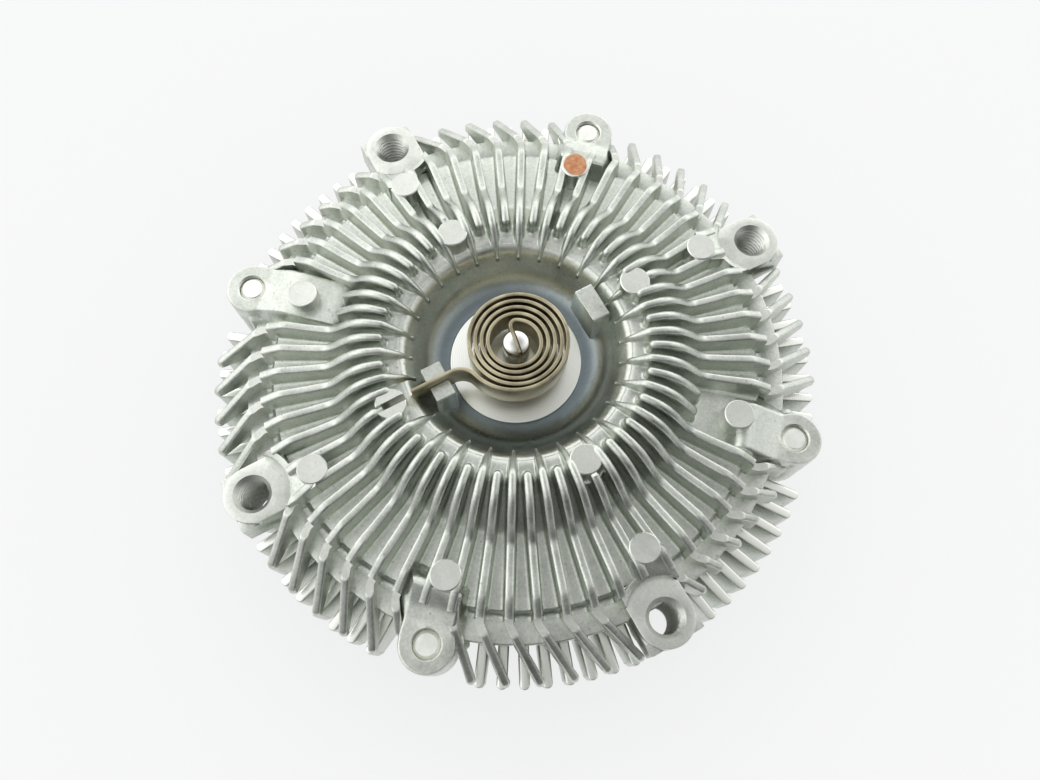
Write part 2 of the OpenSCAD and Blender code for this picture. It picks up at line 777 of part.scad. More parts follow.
module valve_shaft_o_ring() {
    color("black")
        ring(valve_core_r, valve_bore_r - run_fit / 2, seal_z + slip_fit, seal_z + seal_w - slip_fit);
}

module valve_shaft_clip() {
    color("gainsboro") ring(valve_core_r, clip_r, seat_z + clip_rise, seat_z + clip_rise + clip_t);
}

// Balanced arm whose two pads cover the ports
cover_lap = 1.5;
module valve_arm() {
    low = arm_top_z - arm_t;
    arm_w = port_d;
    color("lightsteelblue") difference() {
        union() {
            post(valve_r + 2 * cover_lap, low, arm_top_z);
            translate([-port_r, -arm_w / 2, low]) cube([2 * port_r, arm_w, arm_t]);
            around(port_r, [0, 180]) post(port_d / 2 + cover_lap, low, arm_top_z);
        }
        post(spigot_r, low - 1, arm_top_z + 1);
    }
}

// Coil: a leg across the shaft's slot, a hook, a spiral, a reverse bend and a radial leg
hook_a = 110;
hook_r = 1.3;
hook_turn = asin(hook_r / (coil_in_r - hook_r));
spiral_start_a = hook_a - hook_turn;
bend_lead_a = 15;
spiral_turns = 5 - (anchor_a + bend_lead_a - spiral_start_a) / 360;
spiral_end_r = coil_in_r + coil_pitch * spiral_turns;
bend_r = spiral_end_r * sin(bend_lead_a) / (1 - sin(bend_lead_a));
steps_per_turn = 40;
spiral_steps = round(spiral_turns * steps_per_turn);

// Path points of [x, y, heading]: straight lines, arcs and the spiral that joins them
hook_c = polar(coil_in_r - hook_r, spiral_start_a);
bend_c = polar(spiral_end_r + bend_r, anchor_a + bend_lead_a);
coil_path = concat(
    [concat(polar(draft_gap - valve_r, hook_a), hook_a)],
    [for (i = [0:6]) let (t = (90 + hook_turn) * i / 6)
        concat(hook_c + polar(hook_r, hook_a + 90 - t), hook_a - t)],
    [for (i = [1:spiral_steps]) let (t = i / spiral_steps * spiral_turns, a = spiral_start_a - 360 * t)
        concat(polar(coil_in_r + coil_pitch * t, a), a - 90)],
    [for (i = [1:8]) let (t = (90 - bend_lead_a) * i / 8)
        concat(bend_c + polar(bend_r, anchor_a + bend_lead_a + 180 + t), anchor_a + bend_lead_a - 90 + t)],
    [concat(polar(leg_r, anchor_a), anchor_a)]
);

// Edge of the strip at a distance to the left of its path
function strip_edge(d) = [for (p = coil_path) [p[0], p[1]] + polar(d, p[2] + 90)];
function backwards(list) = [for (i = [len(list) - 1:-1:0]) list[i]];

module bimetal_coil() {
    color("darkkhaki") translate([0, 0, seat_z + strip_rise]) linear_extrude(strip_w)
        polygon(concat(strip_edge(strip_t / 2), backwards(strip_edge(-strip_t / 2))));
}

drive_shaft();
bearing_inner_race();
rotor();
bearing_cage();
bearing_balls();
bearing_outer_race();
bearing_seal_front();
bearing_seal_rear();
bearing_snap_ring();
rear_case();
cover_o_ring();
partition_plate();
front_cover();
cover_screws();
screw_lock_washers();
bimetal_coil();
valve_shaft();
valve_shaft_o_ring();
valve_shaft_clip();
valve_arm();
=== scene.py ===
"""Looks of a viscous fan clutch: finned castings, bimetal coil, small steel parts and the studio round them.

Lengths here are millimetres in the part's own frame, and become metres where a mesh is made.
"""

from __future__ import annotations

import logging
import math
from dataclasses import dataclass, field
from enum import Enum
from functools import cache
from typing import Mapping, Sequence

import bpy
import numpy as np
from mathutils import Matrix

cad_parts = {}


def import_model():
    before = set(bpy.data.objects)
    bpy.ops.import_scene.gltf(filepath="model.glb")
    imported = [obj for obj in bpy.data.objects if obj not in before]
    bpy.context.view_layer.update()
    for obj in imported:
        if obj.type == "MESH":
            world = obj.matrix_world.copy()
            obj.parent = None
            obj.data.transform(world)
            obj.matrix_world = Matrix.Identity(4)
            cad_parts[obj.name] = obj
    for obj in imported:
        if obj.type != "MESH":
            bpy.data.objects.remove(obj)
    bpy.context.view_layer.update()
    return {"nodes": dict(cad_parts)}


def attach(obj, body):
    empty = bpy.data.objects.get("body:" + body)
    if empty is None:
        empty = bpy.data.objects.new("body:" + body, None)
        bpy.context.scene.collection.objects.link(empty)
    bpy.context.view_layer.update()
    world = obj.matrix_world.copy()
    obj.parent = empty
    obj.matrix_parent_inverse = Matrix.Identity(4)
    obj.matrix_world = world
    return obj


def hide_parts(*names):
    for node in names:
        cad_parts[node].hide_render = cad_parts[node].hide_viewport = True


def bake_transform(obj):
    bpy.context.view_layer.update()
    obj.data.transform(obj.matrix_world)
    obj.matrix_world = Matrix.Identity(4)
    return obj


Array = np.ndarray
MM = 0.001
PER_MM = 1000.0
SEAT_Z = 56.0
LUG_R = 65.0
INNER_PAD_R = 30.0
OUTER_PAD_R = 51.0
BOSS_ANGLES = (30.0, 120.0, 210.0, 300.0)
EAR_ANGLES = (75.0, 165.0, 255.0, 345.0)
RELIEF_ANGLES = (165.0, 345.0)
RELIEF_HALF = 4.5
ANCHOR_ANGLE = 210.0
PAINTED_ANGLE = 75.0

log = logging.getLogger("fan_clutch")


class Body(Enum):
    """Bodies that the pieces ride on."""

    HOUSING = "housing"
    VALVE = "valve"


def smooth(low: float, high: float, x: Array) -> Array:
    """Smooth step: 0 below low, 1 above high, and 3t^2 - 2t^3 between them."""
    t = np.clip((np.asarray(x, float) - low) / (high - low), 0.0, 1.0)
    return t * t * (3.0 - 2.0 * t)


def soft_line(x: Array, knots: Sequence[tuple[float, float]], reach: float) -> Array:
    """A line through knots with its corners rounded: the mean of the line over x plus and minus a reach.

    Args:
        x: Places to evaluate.
        knots: Points (x, height) of the line, in rising x.
        reach: Half the width of the mean.

    Returns:
        Heights in the shape of x.
    """
    xs, zs = np.array(knots, float).T
    window = np.linspace(-reach, reach, 9)
    return np.interp(np.asarray(x, float)[..., None] + window, xs, zs).mean(-1)


def fillet(corners: Sequence[tuple[float, float, float]], steps: int = 4) -> Array:
    """A closed outline with rounded corners: each corner becomes an arc that touches both its edges.

    Args:
        corners: Points (x, y, radius); a radius of 0 keeps the corner sharp.
        steps: Parts of each arc.

    Returns:
        Points of the outline, [n, 2].
    """
    table = np.array(corners, float)
    p, radius = table[:, :2], table[:, 2]
    u = np.roll(p, 1, 0) - p
    v = np.roll(p, -1, 0) - p
    u /= np.linalg.norm(u, axis=1, keepdims=True)
    v /= np.linalg.norm(v, axis=1, keepdims=True)
    half = np.arccos(np.clip((u * v).sum(1), -1.0, 1.0)) / 2.0
    middle = u + v
    middle /= np.maximum(np.linalg.norm(middle, axis=1, keepdims=True), 1e-9)
    centre = p + middle * (radius / np.maximum(np.sin(half), 1e-6))[:, None]
    start = p + u * (radius / np.maximum(np.tan(half), 1e-6))[:, None] - centre
    end = p + v * (radius / np.maximum(np.tan(half), 1e-6))[:, None] - centre
    first = np.arctan2(start[:, 1], start[:, 0])
    turn = (np.arctan2(end[:, 1], end[:, 0]) - first + np.pi) % (2.0 * np.pi) - np.pi
    t = np.linspace(0.0, 1.0, steps + 1)
    angle = first[:, None] + turn[:, None] * t
    arcs = centre[:, None] + radius[:, None, None] * np.stack([np.cos(angle), np.sin(angle)], -1)
    return arcs[(radius[:, None] > 0.0) | (t == 0.0)]


def off_angle(degrees: Array, marks: Sequence[float]) -> Array:
    """Signed angles from each mark to each direction, within half a turn, as [directions, marks]."""
    return (degrees[:, None] - np.array(marks) + 180.0) % 360.0 - 180.0


def steps_round(count: int, shift: float = 0.0) -> Array:
    """Angles in radians of a count of even steps round a circle, from a share of a step on."""
    return (np.arange(count) + shift) * 2.0 * np.pi / count


def around(radius: Array, angle: Array, height: Array) -> Array:
    """Points (r cos a, r sin a, z) of radii, angles and heights in shapes that fit together."""
    r, a, z = np.broadcast_arrays(radius, angle, height)
    return np.stack([r * np.cos(a), r * np.sin(a), z], -1)


def revolve(profile: Array, columns: int) -> Array:
    """A turned surface: the profile point (r, z) at angle a is (r cos a, r sin a, z).

    Args:
        profile: Points (r, z).
        columns: Points round the axis.

    Returns:
        Grid [points, columns, 3].
    """
    r, z = np.asarray(profile, float).T[..., None]
    return around(r, steps_round(columns), z)


def spread(grid: Array, radius: float, degrees: Sequence[float]) -> Array:
    """Copies of a grid, each moved out along X by a radius and then turned about Z.

    Args:
        grid: Points [rows, columns, 3], or one grid for each angle.
        radius: Distance from the axis.
        degrees: Angle of each copy.

    Returns:
        Grids [copies, rows, columns, 3].
    """
    a = np.radians(np.asarray(degrees, float))[:, None, None]
    x, y = grid[..., 0] + radius, grid[..., 1]
    z = np.broadcast_to(grid[..., 2], np.broadcast_shapes(x.shape, a.shape))
    return np.stack([x * np.cos(a) - y * np.sin(a), x * np.sin(a) + y * np.cos(a), z], -1)


def stack_outline(outline: Array, levels: Sequence[tuple[float, float]]) -> Array:
    """A solid from one outline: at each level the outline is scaled about its middle and lifted.

    Args:
        outline: Points [n, 2].
        levels: Pairs (scale, z), from the bottom up.

    Returns:
        Grid [levels, n, 3].
    """
    middle = (outline.min(0) + outline.max(0)) / 2.0
    scale, z = np.array(levels, float).T
    flat = middle + (outline - middle)[None] * scale[:, None, None]
    return np.concatenate([flat, np.broadcast_to(z[:, None, None], (*flat.shape[:2], 1))], -1)


@dataclass
class Shell:
    """Points and faces of one piece, gathered from grids of points."""

    points: list[Array] = field(default_factory=list)
    quads: list[Array] = field(default_factory=list)
    machined: list[Array] = field(default_factory=list)
    polished: list[Array] = field(default_factory=list)
    count: int = 0

    def add(
        self, grids: Array, ring: bool = False, machined: Array | float = 0.0, polished: Array | float = 0.0
    ) -> None:
        """Adds closed solids, each a grid whose columns run round.

        A ring's rows run round as well. Otherwise the first and last row are closed by faces between the
        points k and n - 1 - k of the row. A grid whose volume is negative has its faces turned.

        Args:
            grids: Points [rows, columns, 3] or [copies, rows, columns, 3], with an even number of columns.
            ring: Whether the last row joins the first one.
            machined: Share of machined finish at the points.
            polished: Share of smoother skin whose dark colour is a painted reflection.
        """
        grids = np.asarray(grids, float)
        if grids.ndim == 3:
            grids = grids[None]
        copies, rows, columns, _ = grids.shape
        index = np.arange(rows * columns).reshape(rows, columns)
        right = np.roll(index, -1, 1)
        a, b = index, right
        c, d = np.roll(right, -1, 0), np.roll(index, -1, 0)
        faces = np.stack([a, b, c, d], -1)
        if not ring:
            k = np.arange(columns // 2 - 1)
            zipped = np.stack([k, k + 1, columns - 2 - k, columns - 1 - k], -1)
            faces = faces[:-1].reshape(-1, 4)
            faces = np.concatenate([faces, index[0][zipped[:, ::-1]], index[-1][zipped]])
        faces = faces.reshape(-1, 4)
        corner = grids[0].reshape(-1, 3)[faces]
        corner = corner - corner.mean((0, 1))
        volume = np.einsum("ij,ij->", corner[:, 0], np.cross(corner[:, 1], corner[:, 2]))
        volume += np.einsum("ij,ij->", corner[:, 0], np.cross(corner[:, 2], corner[:, 3]))
        if volume < 0.0:
            faces = faces[:, ::-1]
        starts = self.count + np.arange(copies) * rows * columns
        self.quads.append((faces[None] + starts[:, None, None]).reshape(-1, 4))
        self.points.append(grids.reshape(-1, 3))
        self.machined.append(np.broadcast_to(machined, grids.shape[:3]).ravel().astype(np.float32))
        self.polished.append(np.broadcast_to(polished, grids.shape[:3]).ravel().astype(np.float32))
        self.count += copies * rows * columns

    def piece(self, name: str, material: bpy.types.Material, crease: float = 38.0) -> bpy.types.Object:
        """Makes the mesh object of the gathered points.

        Args:
            name: Name of the object.
            material: Its finish.
            crease: Edges with a larger angle than this, in degrees, stay sharp.

        Returns:
            The object, at the origin.
        """
        points = np.concatenate(self.points) * MM
        quads = np.concatenate(self.quads).astype(np.int32)
        mesh = bpy.data.meshes.new(name)
        mesh.vertices.add(len(points))
        mesh.vertices.foreach_set("co", points.astype(np.float32).ravel())
        mesh.loops.add(quads.size)
        mesh.loops.foreach_set("vertex_index", quads.ravel())
        mesh.polygons.add(len(quads))
        mesh.polygons.foreach_set("loop_start", np.arange(0, quads.size, 4, dtype=np.int32))
        mesh.update(calc_edges=True)
        mesh.polygons.foreach_set("use_smooth", np.ones(len(quads), bool))
        mesh.set_sharp_from_angle(angle=math.radians(crease))
        for label, values in (("machined", self.machined), ("polished", self.polished)):
            mesh.attributes.new(label, "FLOAT", "POINT").data.foreach_set("value", np.concatenate(values))
        mesh.materials.append(material)
        obj = bpy.data.objects.new(name, mesh)
        bpy.context.scene.collection.objects.link(obj)
        log.info("%s: %d faces", name, len(quads))
        return obj


def linear(colour: str) -> tuple[float, float, float, float]:
    """Linear RGBA of an sRGB colour, by the sRGB curve.

    Args:
        colour: Colour as a hash sign and six hex digits.

    Returns:
        Red, green, blue and an alpha of 1.
    """
    value = np.array([int(colour[i : i + 2], 16) for i in (1, 3, 5)]) / 255.0
    value = np.where(value <= 0.04045, value / 12.92, ((value + 0.055) / 1.055) ** 2.4)
    return (*(float(v) for v in value), 1.0)


def add(
    tree: bpy.types.NodeTree,
    kind: str,
    settings: Mapping[str | int, object] | None = None,
    links: Mapping[str | int, bpy.types.NodeSocket] | None = None,
) -> bpy.types.Node:
    """Adds a node.

    Args:
        tree: Tree that takes the node.
        kind: Type of the node.
        settings: Values of the node's own properties, or of its inputs.
        links: Sockets that feed its inputs.

    Returns:
        The node.
    """
    node = tree.nodes.new(kind)
    for key, value in (settings or {}).items():
        if isinstance(key, str) and hasattr(node, key):
            setattr(node, key, value)
        else:
            node.inputs[key].default_value = value
    for key, socket in (links or {}).items():
        tree.links.new(socket, node.inputs[key])
    return node


def new_material(name: str) -> tuple[bpy.types.Material, bpy.types.NodeTree, bpy.types.NodeSocket]:
    """Starts a material.

    Args:
        name: Name of the material.

    Returns:
        The material, its empty tree, and the surface socket of its output.
    """
    material = bpy.data.materials.new(name)
    material.use_nodes = True
    tree = material.node_tree
    tree.nodes.clear()
    return material, tree, add(tree, "ShaderNodeOutputMaterial").inputs["Surface"]


def blotches(
    tree: bpy.types.NodeTree, place: bpy.types.NodeSocket, finish: Metal | Coated
) -> tuple[bpy.types.NodeSocket, bpy.types.NodeSocket]:
    """Soft blotches of a finish's two tones.

    Args:
        tree: Tree that takes the nodes.
        place: Object coordinates.
        finish: Finish that gives the tones and the size of the blotches.

    Returns:
        Sockets with the noise, from 0 to 1, and with the colour.
    """
    noise = add(tree, "ShaderNodeTexNoise", {"Scale": PER_MM / finish.blotch_mm, "Detail": 4.0},
                {"Vector": place}).outputs[0]
    share = add(tree, "ShaderNodeMapRange", {1: 0.35, 2: 0.65}, {0: noise}).outputs[0]
    tone = add(tree, "ShaderNodeMix", {"data_type": "RGBA", 6: linear(finish.dark), 7: linear(finish.pale)},
               {0: share})
    return noise, tone.outputs[2]


@dataclass(frozen=True)
class Metal:
    """A bare or plated metal: two tones in blotches, a fine grain, and turning rings if it was turned."""

    name: str
    pale: str
    dark: str
    rough: tuple[float, float]
    blotch_mm: float = 6.0
    grain_mm: float = 0.5
    grain_depth_mm: float = 0.02
    rings_mm: float = 0.0
    rings_depth_mm: float = 0.01

    def material(self) -> bpy.types.Material:
        """Builds the node material.

        Returns:
            The material.
        """
        material, tree, surface = new_material(self.name)
        place = add(tree, "ShaderNodeTexCoord").outputs["Object"]
        blotch, tone = blotches(tree, place, self)
        grain = add(tree, "ShaderNodeTexNoise", {"Scale": PER_MM / self.grain_mm, "Detail": 2.0},
                    {"Vector": place})
        rough = add(tree, "ShaderNodeMapRange", {1: 0.3, 2: 0.7, 3: self.rough[0], 4: self.rough[1]}, {0: blotch})
        bump = add(tree, "ShaderNodeBump", {"Strength": 1.0, "Distance": self.grain_depth_mm * MM},
                   {"Height": grain.outputs[0]})
        if self.rings_mm:
            bump = add(tree, "ShaderNodeBump", {"Strength": 1.0, "Distance": self.rings_depth_mm * MM},
                       {"Height": turned_rings(tree, place, self.rings_mm), "Normal": bump.outputs[0]})
        shader = add(tree, "ShaderNodeBsdfPrincipled", {"Metallic": 1.0},
                     {"Base Color": tone, "Roughness": rough.outputs[0], "Normal": bump.outputs[0]})
        tree.links.new(shader.outputs[0], surface)
        return material


def turned_rings(tree: bpy.types.NodeTree, place: bpy.types.NodeSocket, pitch_mm: float) -> bpy.types.NodeSocket:
    """Height of turning rings: the sine of the distance from the Z axis over the tool's feed.

    Args:
        tree: Tree that takes the nodes.
        place: Object coordinates.
        pitch_mm: Feed per turn, drawn as coarse as it needs to show.

    Returns:
        Socket with the height, from -1 to 1.
    """
    flat = add(tree, "ShaderNodeVectorMath", {"operation": "MULTIPLY", 1: (1.0, 1.0, 0.0)}, {0: place})
    radius = add(tree, "ShaderNodeVectorMath", {"operation": "LENGTH"}, {0: flat.outputs[0]})
    phase = add(tree, "ShaderNodeMath", {"operation": "MULTIPLY", 1: 2.0 * math.pi * PER_MM / pitch_mm},
                {0: radius.outputs["Value"]})
    return add(tree, "ShaderNodeMath", {"operation": "SINE"}, {0: phase.outputs[0]}).outputs[0]


@dataclass(frozen=True)
class DieCast:
    """Die-cast aluminium, with bright turned metal where the attribute "machined" is 1.

    The cast skin is a satin grey with paler and darker flow marks, fine grain and a few dark pores. Where the
    attribute for the dish is 1, the skin is smoother and turns a dark blue-grey: a painted reflection of the dim
    room in the dish. The turned faces are paler, with the tool's rings.
    """

    name: str = "die_cast_aluminium"
    pale: str = "#dce0d8"
    dark: str = "#b9beb6"
    pore: str = "#7f837d"
    cut: str = "#eef0e9"
    # Dark blue-grey of the dish: a painted reflection of the dim room, not the metal's own colour.
    painted_dark_reflection: str = "#7c878b"
    rough: tuple[float, float] = (0.28, 0.42)
    sleek_rough: float = 0.26
    cut_rough: float = 0.3
    flow_mm: float = 7.0
    grain_mm: float = 0.6
    grain_depth_mm: float = 0.035
    wave_mm: float = 3.2
    wave_depth_mm: float = 0.07
    pore_mm: float = 2.6
    ring_mm: float = 0.5
    ring_depth_mm: float = 0.006

    def material(self) -> bpy.types.Material:
        """Builds the node material.

        Returns:
            The material.
        """
        material, tree, surface = new_material(self.name)
        place = add(tree, "ShaderNodeTexCoord").outputs["Object"]
        machined = add(tree, "ShaderNodeAttribute", {"attribute_name": "machined"}).outputs["Fac"]
        polished = add(tree, "ShaderNodeAttribute", {"attribute_name": "polished"}).outputs["Fac"]
        flow = add(tree, "ShaderNodeTexNoise", {"Scale": PER_MM / self.flow_mm, "Detail": 5.0, "Distortion": 0.6},
                   {"Vector": place})
        grain = add(tree, "ShaderNodeTexNoise", {"Scale": PER_MM / self.grain_mm, "Detail": 3.0},
                    {"Vector": place})
        wave = add(tree, "ShaderNodeTexNoise", {"Scale": PER_MM / self.wave_mm, "Detail": 2.0}, {"Vector": place})
        pores = add(tree, "ShaderNodeTexVoronoi", {"Scale": PER_MM / self.pore_mm}, {"Vector": place})
        pore = add(tree, "ShaderNodeMapRange", {1: 0.06, 2: 0.13, 3: 0.45, 4: 0.0}, {0: pores.outputs["Distance"]})
        cloud = add(tree, "ShaderNodeMath", {"operation": "MULTIPLY", 1: 0.55}, {0: flow.outputs[0]})
        mottle = add(tree, "ShaderNodeMath", {"operation": "MULTIPLY_ADD", 1: 0.45},
                     {0: grain.outputs[0], 2: cloud.outputs[0]})
        tone = add(tree, "ShaderNodeMix", {"data_type": "RGBA", 6: linear(self.dark), 7: linear(self.pale)},
                   {0: add(tree, "ShaderNodeMapRange", {1: 0.34, 2: 0.66}, {0: mottle.outputs[0]}).outputs[0]})
        skin = add(tree, "ShaderNodeMix", {"data_type": "RGBA", 7: linear(self.pore)},
                   {0: pore.outputs[0], 6: tone.outputs[2]})
        # Painted reflection: the skin turns to the dark blue-grey where the dish share is 1.
        painted_dark_reflection = add(tree, "ShaderNodeMix", {"data_type": "RGBA", 7: linear(self.painted_dark_reflection)},
                    {0: polished, 6: skin.outputs[2]})
        colour = add(tree, "ShaderNodeMix", {"data_type": "RGBA", 7: linear(self.cut)},
                     {0: machined, 6: painted_dark_reflection.outputs[2]})
        rough = add(tree, "ShaderNodeMapRange", {1: 0.3, 2: 0.7, 3: self.rough[0], 4: self.rough[1]},
                    {0: flow.outputs[0]})
        even = add(tree, "ShaderNodeMix", {3: self.sleek_rough}, {0: polished, 2: rough.outputs[0]})
        gloss = add(tree, "ShaderNodeMix", {3: self.cut_rough}, {0: machined, 2: even.outputs[0]})
        uneven = add(tree, "ShaderNodeBump", {"Strength": 1.0, "Distance": self.wave_depth_mm * MM},
                     {"Height": wave.outputs[0]})
        grainy = add(tree, "ShaderNodeBump", {"Strength": 1.0, "Distance": self.grain_depth_mm * MM},
                     {"Height": grain.outputs[0], "Normal": uneven.outputs[0]})
        rings = add(tree, "ShaderNodeBump", {"Strength": 1.0, "Distance": self.ring_depth_mm * MM},
                    {"Height": turned_rings(tree, place, self.ring_mm)})
        soft = add(tree, "ShaderNodeMix", {"data_type": "VECTOR"},
                   {0: polished, 4: grainy.outputs[0], 5: uneven.outputs[0]})
        normal = add(tree, "ShaderNodeMix", {"data_type": "VECTOR"},
                     {0: machined, 4: soft.outputs[1], 5: rings.outputs[0]})
        shader = add(tree, "ShaderNodeBsdfPrincipled", {"Metallic": 1.0},
                     {"Base Color": colour.outputs[2], "Roughness": gloss.outputs[0], "Normal": normal.outputs[1]})
        tree.links.new(shader.outputs[0], surface)
        return material


@dataclass(frozen=True)
class Coated:
    """A dull coat such as rubber or brushed paint: two tones in blotches and a soft bump."""

    name: str
    pale: str
    dark: str
    rough: float
    blotch_mm: float
    bump_mm: float

    def material(self) -> bpy.types.Material:
        """Builds the node material.

        Returns:
            The material.
        """
        material, tree, surface = new_material(self.name)
        place = add(tree, "ShaderNodeTexCoord").outputs["Object"]
        blotch, tone = blotches(tree, place, self)
        bump = add(tree, "ShaderNodeBump", {"Strength": 1.0, "Distance": self.bump_mm * MM},
                   {"Height": blotch})
        shader = add(tree, "ShaderNodeBsdfPrincipled", {"Roughness": self.rough},
                     {"Base Color": tone, "Normal": bump.outputs[0]})
        tree.links.new(shader.outputs[0], surface)
        return material


@cache
def coat(finish: Metal | DieCast | Coated) -> bpy.types.Material:
    """The material of a finish, made once."""
    return finish.material()


# Satin grey cast skin with bright turned faces
DIE_CAST = DieCast()
# Turned from bar: pale, with fine rings from the tool
TURNED_ALUMINIUM = Metal("turned_aluminium", "#e2e4e3", "#cfd2d1", (0.28, 0.38), rings_mm=0.6)
# Forged and then turned, with a thin film of oil that darkens it
FORGED_STEEL = Metal("forged_steel_turned", "#a3a29e", "#7d7c79", (0.32, 0.48), blotch_mm=9.0, rings_mm=0.7)
# Ground and hardened: smooth and pale
BEARING_STEEL = Metal("ground_bearing_steel", "#d6d7d8", "#c6c8ca", (0.14, 0.22), grain_depth_mm=0.004)
# Pressed strip: a plain dull grey
CAGE_STEEL = Metal("pressed_cage_steel", "#b5b4b0", "#9c9b97", (0.3, 0.42))
# Oil-blackened spring steel
SPRING_STEEL = Metal("blackened_spring_steel", "#5d5c5a", "#454442", (0.34, 0.5))
# Zinc plate: bright, nearly white, with soft clouds
ZINC_STEEL = Metal("zinc_plated_steel", "#fbfcf6", "#eef1e9", (0.3, 0.42), blotch_mm=2.0, grain_depth_mm=0.012)
# Cold-rolled sheet: grey with a faint grain
SHEET_STEEL = Metal("cold_rolled_sheet_steel", "#c2c4c4", "#acafaf", (0.3, 0.42))
# Polished shaft: bright, with crisp lights
VALVE_STEEL = Metal("polished_shaft_steel", "#e9e9e6", "#d3d3d0", (0.1, 0.2), grain_depth_mm=0.003)
# Two bonded alloys, rolled bright and heat-tinted to an olive bronze
BIMETAL = Metal("rolled_bimetal_strip", "#c4bca0", "#9a9279", (0.26, 0.42), blotch_mm=5.0, grain_mm=0.35,
                grain_depth_mm=0.01)
# Moulded nitrile rubber: nearly black, dull
RUBBER = Coated("moulded_black_rubber", "#232323", "#171717", 0.6, 1.5, 0.02)
# Paint brushed on by hand as an inspection mark: thick in places
MARK_PAINT = Coated("brushed_orange_paint", "#d9a57d", "#c47a48", 0.5, 1.3, 0.12)


